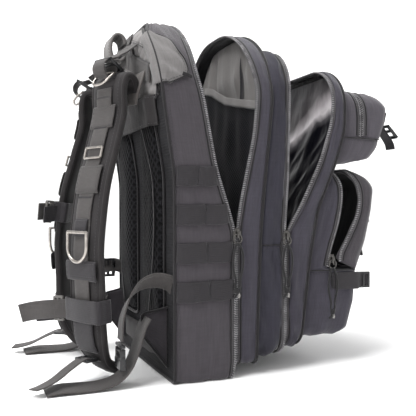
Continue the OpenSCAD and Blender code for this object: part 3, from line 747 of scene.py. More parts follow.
class Layer:
    """One zipped layer: an outline, and the depths of its rear and front edges."""

    def __init__(self, name, size, back, front, body, puff=2.5, soft=9.0, step=3.0, seed=1, bottom_r=12,
                 fold=1.0, edge_soft=None, seam_z=None):
        self.name, self.body, self.seed, self.seam_z = name, body, seed, seam_z
        self.o = Outline(size, bottom_r, step)
        self.back = profile(back, soft)
        self.front = profile(front, soft if edge_soft is None else edge_soft)
        self.puff, self.fold = puff, fold
        self.zmid = (size[1] + size[3]) / 2

    def bulge(self, t, s, z):
        """Cloth's stand-off: a crowned strip, plus folds that run mostly up the side."""
        crown = cloth_bulge(t, self.puff)
        ease = np.sin(math.pi * np.clip(t, 0, 1)) ** 0.8
        wave = ripple(s, t * 60, self.seed, 260, 26) + 0.6 * ripple(s, t * 60, self.seed + 9, 90, 18)
        low = 1 + 0.8 * smoothstep((170 - z) / 120)
        wave = wave + 0.35 * ripple(s, t * 60, self.seed + 17, 40, 30)
        out = crown + self.fold * ease * wave * low
        if self.seam_z is not None:      # a seam across the side draws the cloth in, and pleats hang below it
            below = smoothstep((self.seam_z - z) / 6) * np.exp(-np.maximum(self.seam_z - z, 0) / 60)
            pleats = np.sin(t * 21 + 2.2 * ripple(s, t * 60, self.seed + 5, 120, 40))
            out = out + ease * (-2.2 * np.exp(-((z - self.seam_z) / 5) ** 2) + 1.7 * below * pleats)
        return out

    def cross_seam(self):
        """The seam across both sides at seam_z: a thin welt with stitches under it."""
        o = self.o
        for side, s in SIDES:
            i = o.nearest(self.seam_z, s)
            t = np.linspace(0.04, 0.86, 24)
            yb, yf = float(self.back(self.seam_z)), float(self.front(self.seam_z))
            d = self.bulge(t, o.s[i], self.seam_z)
            c = points(s * (abs(o.p[i, 0]) + d + 0.3), yb + (yf - yb) * t, self.seam_z)
            out = A([s, 0, 0.0])
            tube(f"{self.name}_cross_seam_{side}", c, UP, out, round_section(0.9, 8), M_BIND, self.body)
            stitches(f"{self.name}_cross_stitches_{side}", c + A([s * 0.5, 0, -3.4]), out, self.body)

    def gusset(self, t0, t1, mats, suffix="gusset", thick=3.0, lift=None):
        """The cloth that runs round the sides, the crown and the bottom. t0 and t1 give where it starts
        and ends in mm from the rear and the front edge."""
        o = self.o
        yb, yf = self.back(o.p[:, 1]), self.front(o.p[:, 1])
        width = np.maximum(yb - yf, 1.0)
        m = max(5, int(np.median(width) / GUSSET_PITCH))
        t = np.linspace(0, 1, m)[None, :]
        a, b = (t0 / width)[:, None], (1 - t1 / width)[:, None]
        tt = a + (b - a) * t
        z = o.p[:, 1:2]
        y = yb[:, None] + (yf - yb)[:, None] * tt
        d = self.bulge(tt, o.s[:, None], z)
        if lift is not None:
            d = d - lift(tt, z)
        P = points(o.p[:, :1] + o.n[:, :1] * d, y, z + o.n[:, 1:] * d)
        P[..., 2] = np.maximum(P[..., 2], 0.6 if self.body == "shell" else 2.0)
        return grid(f"{self.name}_{suffix}", P, mats, self.body, closed=True,
                    toward=outward_of((0, 0, self.zmid)), thick=thick)

    def wall(self, suffix, y_of, mats, facing, bulge, fold, thick, z_from=None, z_to=None):
        """A sheet across the whole layer at depth y_of(z); facing is -1 for the front, 1 for the rear."""
        o = self.o
        z0 = o.z0 + 1.5 if z_from is None else z_from
        z1 = o.h - 1.0 if z_to is None else z_to
        z = (z0 + (z1 - z0) * 0.5 * (1 - np.cos(np.linspace(0, math.pi, 110))))[:, None]
        u = crosswise(60)
        x = u * o.half_width(np.clip(z, o.z0, o.h))
        v = (z - z0) / (z1 - z0)
        ease = (np.clip(1 - np.abs(u), 0, 1) ** 0.5) * (np.sin(math.pi * v) ** 0.4)
        y = y_of(z) + facing * ease * (bulge + fold * ripple(x, z, self.seed, 70, 120))
        return grid(f"{self.name}_{suffix}", points(x, y, z), mats, self.body,
                    toward=(0, facing, 0), thick=thick)

    def edge_line(self, y_of, off, shift=0.0):
        """The closed line of an edge, with its outward and tangent directions."""
        o = self.o
        y = y_of(o.p[:, 1]) + shift
        c = o.at(y, off)
        c[:, 2] = np.maximum(c[:, 2], 1.6)
        n3 = points(o.n[:, 0], np.zeros(len(o.s)), o.n[:, 1])
        t = tangents(c, True)
        n3 = square_to(n3, t)
        return c, t, n3

    def piping(self, suffix, y_of, r, off):
        c, _, n3 = self.edge_line(y_of, off)
        welt(f"{self.name}_{suffix}", c, n3, round_section(r, 8), M_BIND, self.body, closed=True)

    def seam_stitches(self, suffix, y_of, shift):
        c, _, n3 = self.edge_line(y_of, 0.0, shift)
        o = self.o
        yb, yf = self.back(o.p[:, 1]), self.front(o.p[:, 1])
        tt = (c[:, 1] - yb) / np.where(np.abs(yf - yb) < 1, -1, yf - yb)
        d = self.bulge(tt, o.s, o.p[:, 1]) + 0.5
        c = c + n3 * d[:, None]
        c[:, 2] = np.maximum(c[:, 2], 1.2)
        stitches(f"{self.name}_{suffix}", c, n3, self.body, closed=True)

    def zip(self, y_of, way):
        c, t, n3 = self.edge_line(y_of, 0.0)
        sew_zip(self.name, c, t, n3, way, self.body, self.zmid, True, EDGE_ZIP)


def build_shell():
    lay = Layer("shell", SHELL, SHELL_BACK, SHELL_EDGE, "shell", puff=3.0, seed=3, fold=0.9, bottom_r=9)
    g = lay.gusset(0, TAPE, [M_CLOTH, M_DARK], thick=3.0)
    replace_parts(g, "rear_shell")
    lay.wall("back", lay.back, [M_BACK_MESH, M_DARK], 1, bulge=0.0, fold=0.5, thick=2.5)
    lay.piping("back_piping", lay.back, r=2.0, off=0.8)
    lay.seam_stitches("back_stitches", lay.back, -6)
    lay.zip(lay.front, -1)
    return lay


def build_front_panel():
    lay = Layer("front", FRONT, MAIN_ZIP, FRONT_SEAM, "main_front", puff=2.0, seed=11, fold=0.7)
    g = lay.gusset(TAPE, 0, [M_CLOTH_FRONT, M_DARK], thick=2.6)
    lay.wall("wall", lay.front, [M_CLOTH, M_DARK], -1, bulge=-1.0, fold=0.8, thick=2.5)
    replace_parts(g, "front_panel")
    lay.piping("seam_piping", lay.front, r=1.9, off=1.6)
    lay.zip(lay.back, 1)
    # plain cloth above, a sagging bound edge, and the mesh pocket below it
    u = crosswise(110)
    z = np.linspace(335, 481, 90)[:, None]
    x = u * (lay.o.half_width(z) - 5)
    ease = (1 - u ** 2) ** 0.5 * np.sin(math.pi * (z - 335) / 146.0) ** 0.35
    fold_x = x + 54 + 0.12 * (z - 390)
    open_pleat = smoothstep((452 - z) / 50)
    clear = 0.25 + 0.75 * smoothstep((z - 388) / 40)      # stays behind the mesh pocket's top
    y = lay.front(z) + 6 + ease * clear * (9 + 4.0 * ripple(x, z * 0.15, 5, 46, 400, 5)
                                           - 10 * open_pleat * np.exp(-(fold_x / 7) ** 2)
                                           + 4 * open_pleat * np.exp(-((fold_x - 13) / 6) ** 2))
    P = points(x, y, z)
    g = grid("front_inner_cloth", P, [M_GREY, M_GREY], "main_front", toward=(0, 1, 0), thick=0.8)

    # painted shade: a dark sheet inside the pleat stands for the shade in it
    zz = np.linspace(378, 448, 30)[:, None]
    half = 6.5 * (448 - zz) / 70 + 0.4
    xx = -54 - 0.12 * (zz - 390) + half * np.linspace(-1, 1, 9)[None, :]
    depth = np.array([[np.interp(a, x[i], y[i]) for a in row] for row, i in
                      zip(xx, np.clip(np.searchsorted(z[:, 0], zz[:, 0]), 0, len(z) - 1))])
    grid("front_pleat_painted_shade", points(xx, depth + 1.3, zz), M_PLEAT_SHADE, "main_front",
         toward=(0, 1, 0))

    # the pocket's edge climbs from the left side to the right
    def pocket_top(u):
        return np.interp(u * 128, (-128, -100, -60, -15, 15, 43, 80, 128),
                         (370, 376, 384, 394, 405, 416, 424, 424))

    def pocket_y(u, z, rows):
        return lay.front(z) + 9 + (1 - u ** 2) ** 0.5 * np.sin(math.pi * rows * 0.8) ** 0.5 * (
            8 + 1.8 * ripple(u * 120, z, 21, 60, 90))
    rows = np.linspace(0, 1, 90)[:, None]
    z = 50 + (pocket_top(u) - 50) * rows
    P = points(u * (lay.o.half_width(z) - 6), pocket_y(u, z, rows), z)
    g = grid("front_mesh_pocket", P, M_POCKET_MESH, "main_front", toward=(0, 1, 0), thick=0.8)
    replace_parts(g, "mesh_pocket")
    cu = np.linspace(-1, 1, 70)
    zt = pocket_top(cu) - 2
    line = points(cu * (lay.o.half_width(zt) - 6), pocket_y(cu, zt, 1.0) + 1.6, zt)
    ribbon("front_mesh_binding", line, (0, 0, 1), 11, 1.4, M_GREY, "main_front", n=130)
    ribbon("front_mesh_binding_shade", line + A([0, 1.4, -6.2]), (0, 0, 1), 1.6, 1.0, M_BIND, "main_front",
           n=130)


def build_organizer():
    lay = Layer("organizer", ORGANIZER, FRONT_SEAM, ORGANIZER_ZIP, "main_front", puff=2.8, seed=23,
                fold=2.0, bottom_r=26, seam_z=176)
    g = lay.gusset(0, TAPE, [M_CLOTH_ORG, M_LINING], suffix="side_cloth", thick=2.6)
    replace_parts(g, "organizer_gusset")
    lay.cross_seam()
    lay.zip(lay.front, -1)
    u = np.linspace(-1, 1, 50)[None, :]
    z = np.linspace(46, 288, 60)[:, None]
    y = profile([(-84, 40), (-89, 192), (-92, 238), (-97, 290)])(z) - 2 * (1 - u ** 2) * ripple(
        u * 120, z, 31, 80, 120) - (1 - u ** 2) * 1.5
    P = points(u * 124, y, z)
    g = grid("organizer_sleeve_cloth", P, [M_CLOTH_DARK, M_DARK], "main_front", toward=(0, -1, 0),
             thick=0.9)
    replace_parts(g, "organizer_sleeve")
    line = points(np.linspace(-124, 124, 40), -98.5, 288.0)
    ribbon("organizer_sleeve_binding", line, (0, 0.02, 1), 12, 1.4, M_BIND, "main_front", n=60)


def build_flap():
    lay = Layer("flap", FLAP, FLAP_ZIP, FLAP_SEAM, "organizer_front", puff=2.8, seed=37, fold=1.8,
                bottom_r=22)
    g = lay.gusset(TAPE, 0, [M_CLOTH_FRONT, M_LINING], thick=2.6)
    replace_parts(g, "organizer_flap")
    lay.wall("wall", lay.front, [M_CLOTH, M_LINING], -1, bulge=-1.0, fold=0.8, thick=2.5)
    lay.piping("seam_piping", lay.front, r=1.9, off=1.6)
    lay.zip(lay.back, 1)
    # the loose shiny lining behind the flap, hanging in heavy folds
    o = lay.o
    u = crosswise(120)
    z = np.linspace(40, 426, 150)[:, None]
    hw = o.half_width(z) - 5
    room = np.maximum(lay.back(z) - lay.front(z) - 12, 4)
    x = u * hw
    hang = ripple(x, z, 41, 70, 150, 6) + 0.5 * np.abs(ripple(x + 0.4 * z, z, 43, 60, 80, 5))
    cross = ripple(x * 0.5 + z * 0.6, z, 47, 90, 70, 5)
    ease = (1 - np.abs(u) ** 3) * np.clip((z - 40) / 60, 0, 1) * np.clip((426 - z) / 30, 0, 1)
    # one strong fold climbs to the left side, and sharp creases fan out below it
    climb = z - (364 - 0.5 * (x + 70))
    ridge = np.exp(-np.abs(climb) / np.where(climb > 0, 34, 11)) * smoothstep((70 - x) / 60)
    fan = x + 0.35 * (z - 350)
    crease = (1 - np.abs(np.sin(math.pi * fan / 48 + 0.6 * cross)) ** 0.8) * smoothstep((-climb - 4) / 40)
    swell = 0.32 + 0.08 * hang + 0.05 * cross + 0.36 * ridge + 0.14 * crease
    y = lay.front(z) + 6 + ease * np.clip(room * swell, 1.5, room * 0.85)
    P = points(x, y, z)
    g = grid("flap_loose_lining", P, M_LINING_PAINTED_LIGHT, "organizer_front", toward=(0, 1, 0), thick=0.6)


def build_lower_pocket():
    lay = Layer("lower", LOWER, LOWER_BACK, LOWER_EDGE, "organizer_front", puff=2.6, soft=5, edge_soft=1.2,
                seed=51, fold=1.2, step=2.6)
    g = lay.gusset(0, 0, [M_CLOTH_FRONT, M_DARK], thick=2.6,
                   lift=lambda t, zz: 1.6 * smoothstep((t - 0.85) / 0.1) * smoothstep((zz - 140) / 8))
    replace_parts(g, "lower_pocket")
    return lay


def pocket_zip(lay, y_of, way, z_from, body, name):
    """A zip over the part of a pocket's outline that is above z_from."""
    o = lay.o
    keep = o.p[:, 1] > z_from
    start = int(np.argmax(keep & ~np.roll(keep, 1)))
    idx = (start + np.arange(int(keep.sum()))) % len(o.s)
    p, n = o.p[idx], o.n[idx]
    c = points(p[:, 0], y_of(p[:, 1]), p[:, 1])
    k = np.ones(9) / 9
    c[:, 1] = np.convolve(np.pad(c[:, 1], 4, mode="edge"), k, mode="valid")
    n3 = points(n[:, 0], 0 * n[:, 0], n[:, 1])
    t = tangents(c)
    n3 = square_to(n3, t)
    sew_zip(name, c, t, n3, way, body, lay.zmid, False, POCKET_ZIP)


def build_lower_front_wall(lay):
    """The cloth across the lower pocket's front, below the end of its zip, and the shelf at the zip's end."""
    z = np.linspace(44.5, 136.5, 50)[:, None]
    hw = lay.o.half_width(z) - 0.3
    u = crosswise(60)
    ease = (1 - np.abs(u)) ** 0.4 * np.sin(math.pi * (z - 44.5) / 92) ** 0.5
    y = profile([(-214, 44), (-226, 52), (-238, 91), (-242, 136)], 5)(z) - ease * (
        1.5 + 1.2 * ripple(u * 120, z, 57, 80, 60))
    grid("lower_front_wall", points(u * hw, y, z), [M_CLOTH, M_DARK], "organizer_front",
         toward=(0, -1, 0), thick=2.2)
    x = np.linspace(-122, 122, 60)[:, None]
    yy = np.linspace(-241.5, -190, 18)[None, :]
    zz = 137 + 0.8 * ripple(x, yy, 59, 60, 30) * np.sin(math.pi * (yy + 241.5) / 51.5)
    grid("lower_shelf", points(x, yy, zz), [M_DARK, M_DARK],
         "organizer_front", toward=(0, 0, 1), thick=1.2)
    for side, s in SIDES:
        line = A([[s * 124.4, -241, 136.6], [s * 126.6, -226, 136.6], [s * 127.0, -205, 136.8],
                  [s * 126.4, -180, 137.2], [s * 125, -162, 137.6]], float)
        c = curve_through(line, 30)
        tube(f"lower_end_seam_{side}", c, UP, A([s, 0, 0.0]),
             round_section(1.0, 8), M_BIND, "organizer_front")
        stitches(f"lower_end_stitches_{side}", c - A([0, 0, 4.0]), A([s, 0, 0.0]),
                 "organizer_front")


def build_lower_flap():
    lay = Layer("lower_flap", LOWER_FLAP, LOWER_FLAP_ZIP, LOWER_FLAP_FRONT, "lower_front", puff=2.8, soft=4,
                seed=61, fold=1.3, bottom_r=4, step=2.6)
    g = lay.gusset(0, 0, [M_CLOTH, M_DARK], thick=2.4)
    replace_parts(g, "lower_pocket_flap")
    lay.wall("wall", lay.front, [M_CLOTH, M_DARK], -1, bulge=1.0, fold=1.2, thick=2.2,
             z_from=139, z_to=281)
    pocket_zip(lay, lay.back, 1, 150, "lower_front", "lower_flap_zip")
    for i, (z, y, lean) in enumerate(((168, -257.4, 15), (218, -268.8, 13))):
        a = math.radians(lean)
        zs = z - 0.5
        for k, (x0, x1) in enumerate(((-110, -37), (-37, 37), (37, 110))):
            x = np.linspace(x0, x1, 12)
            bow = 1.4 * np.sin(math.pi * (x - x0) / (x1 - x0))
            line = points(x, y - 3.4 - bow, zs)
            piece = ribbon(f"lower_flap_row_{i}_{k}", line, (0, math.sin(a), math.cos(a)), 25, 2.0,
                           M_WEB, "lower_front", n=24)
            if i == 0 and k == 0:
                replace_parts(piece, "lower_flap_webbing")
        tacks(f"lower_flap_tacks_{i}", [A([x, y - 5.0, zs]) for x in (-109, -37, 37, 109)],
              (0, math.sin(a), math.cos(a)), (1, 0, 0), (0, -math.cos(a), math.sin(a)), 22, "lower_front")


def tacks(name, places, along, across, out, length, body, lines=3):
    """Bar tacks: dense rows of short stitches that sew webbing down."""
    along, across, out = (unit(A(v, float)) for v in (along, across, out))
    at, n = [], int(length / 1.25)
    for p in places:
        for j in range(lines):
            for i in range(n):
                at.append(p + across * (j - (lines - 1) / 2) * 1.3
                          + along * ((i + 0.5 * (j % 2)) / n - 0.5) * length)
    at = A(at)
    one = np.ones((len(at), 1))
    repeat_shape(name, A(THREAD_V) * (1.9, 0.8, 0.6), THREAD_F, at, one * across, one * along, one * out,
                 M_THREAD, body)


def build_upper_pocket():
    lay = Layer("upper", UPPER, UPPER_BACK, UPPER_EDGE, "organizer_front", puff=2.6, soft=5, edge_soft=1.2,
                seed=71, fold=1.0, step=2.6)
    g = lay.gusset(0, 0, [M_CLOTH_TOP, M_DARK], thick=2.4)
    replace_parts(g, "upper_pocket")
    pocket_zip(lay, profile([(-253, 331), (-254, 366), (-247, 400)], 4), -1, 334,
               "organizer_front", "upper_zip_rear")
    x = np.linspace(-119, 119, 60)[:, None]
    front = profile([(-236, 295), (-267, 300), (-280, 316), (-286, 330)], 3)
    z = np.linspace(297, 330, 20)[None, :]
    y = front(z) - 1.5 * np.sin(math.pi * (z - 297) / 33) + 0.5 * ripple(x, z, 73, 60, 30)
    grid("upper_front_wall", points(x, y, z), [M_CLOTH_TOP, M_DARK], "organizer_front",
         toward=(0, -1, 0), thick=2.2)
    yy = np.linspace(-285, -252, 12)[None, :]
    z = 330.2 + 0.4 * ripple(x, yy, 75, 50, 30)
    grid("upper_shelf", points(x, yy, z), [M_DARK, M_DARK], "organizer_front", toward=(0, 0, 1),
         thick=1.0)
    for side, s in SIDES:
        c = curve_through(A([[s * 121.6, -286, 330], [s * 123.6, -262, 330.3], [s * 123.9, -240, 330.6],
                             [s * 122.5, -219, 331]], float), 30)
        tube(f"upper_end_seam_{side}", c, UP, A([s, 0, 0.0]),
             round_section(0.9, 8), M_BIND, "organizer_front")
        stitches(f"upper_end_stitches_{side}", c - A([0, 0, 3.6]), A([s, 0, 0.0]),
                 "organizer_front")


def build_lid():
    lay = Layer("lid", LID, LID_ZIP, LID_FRONT, "upper_lid", puff=2.6, soft=4, seed=81, fold=1.0, bottom_r=3,
                step=2.6)
    g = lay.gusset(0, 0, [M_CLOTH_TOP, M_DARK], thick=2.4)
    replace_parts(g, "upper_pocket_lid")
    lay.wall("wall", lay.front, [M_CLOTH_TOP, M_DARK], -1, bulge=1.5, fold=1.0, thick=2.2,
             z_from=332, z_to=398)
    pocket_zip(lay, lay.back, 1, 335, "upper_lid", "upper_zip_front")
    for side, s in SIDES:
        x = s * 100
        line = A([[x, -299.8, 344], [x, -300.6, 351.5], [x, -303.4, 360], [x, -306.2, 372.5]], float)
        web = ribbon(f"lid_webbing_{side}", line, (1, 0, 0), 25, 2, M_WEB, "upper_lid", n=20)
        if s < 0:
            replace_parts(web, "lid_strap")
        tacks(f"lid_webbing_tacks_{side}", [A([x, -307.4, 371]), A([x, -302.8, 356])], (1, 0, 0), (0, 0, 1),
              (0, -1, 0.3), 22, "upper_lid")
        place = Matrix.Translation((x, -304.4, 349)) @ Matrix.Rotation(math.radians(-45), 4, "X")
        lock = ladder_lock(f"lid_lock_frame_{side}", place @ Matrix.Translation((0, -5.5, -12)), 31, 26,
                           f"lid_lock_{side}")
        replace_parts(lock, f"lid_ladder_lock_{side}")
        tail = A([[x, -303.5, 350], [x, -309, 343], [x, -316, 335], [x, -322, 326], [x, -324, 318]], float)
        ribbon(f"lid_lock_web_{side}", tail, (1, 0, 0), 21, 1.8, M_WEB, f"lid_lock_{side}", n=24)


def ladder_lock(name, place, w, h, body):
    """A moulded ladder lock: two rails, three cross bars and a lifting lip. It stands in X and Z."""
    t = 4.2
    boxes = [((-w / 2 + 2, 0, 0), (4, t, h)), ((w / 2 - 2, 0, 0), (4, t, h)),
             ((0, 0, h / 2 - 2), (w, t, 4)), ((0, -0.8, 1), (w, t * 0.8, 4.4)),
             ((0, 0.3, -h / 2 + 2.4), (w, t * 1.1, 4.8)), ((0, -1.8, -h / 2 + 1.0), (w * 0.7, t * 0.7, 4.6),
                                                           (24, 0, 0))]
    return bars(name, boxes, M_BUCKLE, body, bevel=1.1, place=place)


def build_side_rows(shell):
    """Webbing rows on the main compartment's sides."""
    for side, s in SIDES:
        first = None
        places = []
        for i, share in enumerate((0.43, 0.47, 0.45, 0.48)):      # where each row is split in two
            z = 118.5 + 50 * i
            y1 = float(shell.front(z)) + TAPE - 1
            y0 = 43.5
            split = y1 + (y0 - y1) * share
            for k, (a, b) in enumerate(((y0, split), (split, y1))):
                t = np.linspace(0, 1, 11)
                y = a + (b - a) * t
                tt = (y - float(shell.back(z))) / (float(shell.front(z)) - float(shell.back(z)))
                here = shell.o.s[shell.o.nearest(z, s)]
                off = shell.bulge(tt, here, z) + 1.5 + 1.8 * np.sin(math.pi * t)
                droop = 1.6 * np.sin(math.pi * t) * (1 if k else 0.6)
                line = points(s * (140 + off), y, z - droop + (y - 43.5) * -0.02)
                tilt = A([[-s * 0.10 * math.sin(math.pi * q), 0, 1.0] for q in t])
                piece = ribbon(f"side_row_{side}_{i}_{k}", line, tilt, 26, 2.0, M_WEB, "shell", n=24)
                if first is None:
                    first = piece
                places.append(A([s * (140 + off[0] + 1.25), a - (0 if k else 1.5), line[0, 2]]))
                if k:
                    places.append(A([s * (140 + off[-1] + 1.25), b + 1.5, line[-1, 2]]))
        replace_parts(first, f"side_webbing_{side}")
        tacks(f"side_row_tacks_{side}", places, (0, 0, 1), (0, 1, 0), (s, 0, 0), 23, "shell", lines=2)


# ---- sliders and pulls ----------------------------------------------------------------------------


def build_pull(name, slider_body, pull_body, place):
    """A zip slider with its ring, and the loop of cord that hangs from the ring. The bodies are named as
    their nodes are. place maps the slider's own axes (x out of the cloth, z up the zip) to the row frame."""
    def put(p):
        return A(place @ Vector(p))
    flip = place.determinant() < 0
    boxes = [((1.5, 0, 0), (3.0, 11.4, 9.5)), ((1.4, 0, 5.6), (2.8, 7.4, 5.0)),
             ((1.5, -4.2, -5.2), (3.0, 3.4, 5.0)), ((1.5, 4.2, -5.2), (3.0, 3.4, 5.0)),
             ((3.9, 0, 3.6), (3.0, 2.9, 2.0)), ((3.9, 0, -3.6), (3.0, 2.9, 2.0)),
             ((5.9, 0, 0), (1.5, 2.9, 9.4))]
    body = bars(f"{name}_slider_body", boxes, M_GUN, slider_body, bevel=0.7, place=place)
    if flip:
        body.data.flip_normals()
    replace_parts(body, slider_body)
    ring_t = np.linspace(0, 2 * math.pi, 40, endpoint=False)
    c = A([put((4.4, 6 * math.sin(a), -6 + 6 * math.cos(a))) for a in ring_t])
    o = put((4.4, 0, -6))
    r = unit(c - o)
    axis = unit(put((5.4, 0, -6)) - o)
    ring = tube(f"{name}_ring", c, r, axis, round_section(1.05, 8), M_GUN, pull_body,
                closed=True)
    # the cord: down one strand, round the knot, and up the other
    half = [(4.4, -0.6, -11.6), (4.8, -3.2, -15), (5.2, -6.2, -22), (5.4, -7.6, -32), (5.2, -7.2, -43),
            (4.8, -5.0, -54), (4.4, -3.2, -62), (4.3, -3.6, -68), (4.3, -2.4, -72.5)]
    other = [(4.4, 2.4, -72.5), (4.5, 3.6, -68), (4.8, 3.0, -61), (5.6, 5.4, -52), (6.2, 7.4, -42),
             (6.2, 7.0, -30), (5.6, 4.8, -20), (4.9, 2.8, -14.6), (4.4, 0.9, -11.6)]
    pts = curve_through(A([put(p) for p in half + [(4.3, 0, -74.2)] + other]), 64)
    curve = bpy.data.curves.new(f"{name}_cord", "CURVE")
    curve.dimensions, curve.bevel_depth, curve.bevel_resolution = "3D", PULL_D / 2 * MM, 3
    spline = curve.splines.new("POLY")
    spline.points.add(len(pts) - 1)
    for q, p in zip(spline.points, pts):
        q.co = (*(p * MM), 1)
    curve.materials.append(M_CORD)
    cord = place_piece(bpy.data.objects.new(f"{name}_cord", curve), pull_body)
    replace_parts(cord, pull_body)
    # the knot: three wraps, and two frayed ends
    k0 = put((4.4, 0, -74.5))
    up = unit(put((4.4, 0, 0)) - k0)
    out = axis
    sideways = np.cross(up, out)
    turns = np.linspace(0, 3 * 2 * math.pi, 60)
    wrap = A([k0 + up * (2.6 - 5.4 * a / turns[-1]) + (out * math.cos(a) + sideways * math.sin(a)) * 2.7
              for a in turns])
    tt = tangents(wrap)
    radial = unit(wrap - k0 - up * ((wrap - k0) @ up)[:, None])
    knot = tube(f"{name}_knot", wrap, radial, np.cross(tt, radial), round_section(1.5, 8), M_CORD, pull_body)
    for e, lean in enumerate((-1, 1)):
        c = curve_through(A([k0 - up * 2, k0 - up * 6 + sideways * lean * 2.2,
                             k0 - up * 10 + sideways * (lean * 3.4 - 2)]), 10)
        tt = tangents(c)
        tube(f"{name}_end_{e}", c, out, np.cross(tt, out),
                         round_section(1.4, 8), M_FRAY if e else M_CORD, pull_body,
                         scale=np.linspace(1, 1.25, 10)[:, None] * np.ones((1, 2)))


def build_pulls():
    for key, (x, y, z) in {"main": (140.6, -41.5, 192), "organizer": (134.6, -119.5, 188),
                           "lower": (123.6, -200, 152)}.items():
        for side, s in SIDES:
            place = Matrix.Translation((s * x, y, z)) @ Matrix.Diagonal((s, 1, 1, 1))
            build_pull(f"{key}_{side}", f"{key}_slider_{side}", f"{key}_pull_{side}", place)
    place = Matrix.Translation((60, -250.8, 400.4)) @ Matrix.Rotation(math.radians(-90), 4, "Y")
    build_pull("upper", "upper_slider", "upper_pull", place)


build_pulls()

# ---- harness --------------------------------------------------------------------------------------


def strap_world(s, lx, q, z):
    """A point of the strap's own plane (lx across, q outward, z up) in the row frame; s is the side."""
    c, n = math.cos(STRAP_YAW), math.sin(STRAP_YAW)
    return points(s * (STRAP_ORIGIN[0] + c * lx + n * q), STRAP_ORIGIN[1] - n * lx + c * q, z)


def strap_dirs(s):
    c, n = math.cos(STRAP_YAW), math.sin(STRAP_YAW)
    return A([s * c, -n, 0]), A([s * n, c, 0])


STRAP_LINE = curve_through(STRAP_PATH, 160)          # (q, z) along the strap


def strap_at(z):
    """The strap's centre and outward direction, as (q, z) parts, at height z on its outer run."""
    run = STRAP_LINE[int(STRAP_LINE[:, 1].argmax()):]
    i = int(np.argmin(np.abs(run[:, 1] - z)))
    a, b = run[max(i - 3, 0)], run[min(i + 3, len(run) - 1)]
    t = unit(b - a)
    n = A([-t[1], t[0]])
    if n[0] < 0:
        n = -n
    return run[i], n


def on_strap(s, z, lx=0.0, lift=0.0):
    c, n = strap_at(z)
    q = c + n * (STRAP_T / 2 + lift)
    return strap_world(s, lx, q[0], q[1])


def strap_face(s, z):
    """Across, outward and upward directions on the strap's outer face at height z."""
    across, out_h = strap_dirs(s)
    _, n = strap_at(z)
    return across, unit(out_h * n[0] + A([0, 0, n[1]]))


def build_strap(side, s):
    body = f"strap_{side}"
    n = len(STRAP_LINE)
    c = strap_world(s, 0, STRAP_LINE[:, 0], STRAP_LINE[:, 1])
    across, out_h = strap_dirs(s)
    t2 = tangents(STRAP_LINE)
    n2 = np.stack([-t2[:, 1], t2[:, 0]], axis=1)
    up = out_h * n2[:, :1] + UP * n2[:, 1:]
    along = np.linspace(0, 1, n)
    width = STRAP_W * (1 - 0.47 * smoothstep((along - 0.84) / 0.16))
    width = width * (1 - 0.12 * smoothstep((0.1 - along) / 0.1))
    k = 40
    ang = np.linspace(0, 2 * math.pi, k, endpoint=False)
    sec = np.stack([0.5 * np.sign(np.cos(ang)) * np.abs(np.cos(ang)) ** 0.55,
                    0.5 * np.sign(np.sin(ang)) * np.abs(np.sin(ang)) ** 0.75], axis=1)
    thick = STRAP_T * (1 + 0.05 * np.sin(along * 40)) * (1 - 0.35 * smoothstep((0.05 - along) / 0.05))
    pad = tube(f"strap_pad_{side}", c, across, up, sec, M_STRAP, body,
               scale=np.stack([width - 3, thick], axis=1))
    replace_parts(pad, f"shoulder_strap_{side}")
    # bound edges with a welt on both sides
    for e, d in (("inner", -1), ("outer", 1)):
        line = c + across * (d * (width / 2 - 2.0))[:, None] + up * 0.6
        tube(f"strap_binding_{e}_{side}", line, across, up, oval_section(2.6, 4.6, 10), M_STRAP_EDGE, body)
        inset = c + across * (d * (width / 2 - 7.5))[:, None] + up * (STRAP_T / 2 * 0.93)
        stitches(f"strap_stitches_{e}_{side}", inset, up, body)
    # the long ribbed webbing down the middle, sewn at intervals so that it bows between them
    zs = np.linspace(384, 60, 90)
    bow = np.abs(np.sin(np.linspace(0, 7 * math.pi, 90))) * 1.2
    line = A([on_strap(s, z, 0, 1.3 + b) for z, b in zip(zs, bow)])
    w = ribbon(f"strap_long_band_{side}", line, across, 30, 2.0, M_WEB_LIGHT, body, n=150)
    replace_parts(w, f"strap_webbing_{side}")
    places = [on_strap(s, z, 0, 3.0) for z in (372, 330, 290, 238, 148, 84)]
    a0, o0 = strap_face(s, 250)
    tacks(f"strap_tacks_{side}", places, a0, (0, 0, 1), o0, 28, body, lines=2)
    # square keepers that cross the webbing
    for i, z in enumerate((346, 262)):
        keeper(f"strap_keeper_{i}_{side}", s, z, 46, 34, body, 3.4)
    # the patch that holds the ring, and the reinforcement low on the strap
    keeper(f"strap_ring_patch_{side}", s, 148, 62, 24, body, 3.6, M_WEB)
    keeper(f"strap_low_patch_{side}", s, 72, 40, 54, body, 3.0, M_WEB)
    # loop of webbing that carries the D ring
    zs = np.linspace(212, 190, 12)
    line = A([on_strap(s, z, 0, 3.6 + 2.0 * math.sin(math.pi * k / 11)) for k, z in enumerate(zs)])
    ribbon(f"ring_holder_{side}", line, across, 26, 2.2, M_WEB, body, n=20)
    # adjusting tail: leaves the strap's lower end and runs out to the floor
    line = A([strap_world(s, 4, q, z) for q, z in ((8, 22), (26, 25), (44, 32), (58, 34), (78, 26), (98, 16),
                                                   (116, 11), (128, 9.5))])
    lean = across + A([0, 0, 0.12])
    ribbon(f"strap_tail_{side}", line, lean, 20, 1.8, M_WEB_LIGHT, body, n=70)
    place = Matrix.Translation(Vector(strap_world(s, 4, 50, 33))) @ Matrix(
        (across, (0, 0, 1), -out_h)).transposed().to_4x4()
    boxes = [((0, 0, 8), (26, 4, 3.2)), ((0, 0, -8), (26, 4, 3.2)), ((-11.5, 0, 0), (3.2, 4, 18)),
             ((11.5, 0, 0), (3.2, 4, 18)), ((0, 1.2, 0), (24, 2.6, 3))]
    bars(f"strap_tail_slider_{side}", boxes, M_BUCKLE, body, bevel=0.9, place=place)
    # steel: the ring and the bar stay as the frame has them
    for node in (f"strap_ring_{side}", f"strap_bar_{side}"):
        dress(node, M_STEEL)


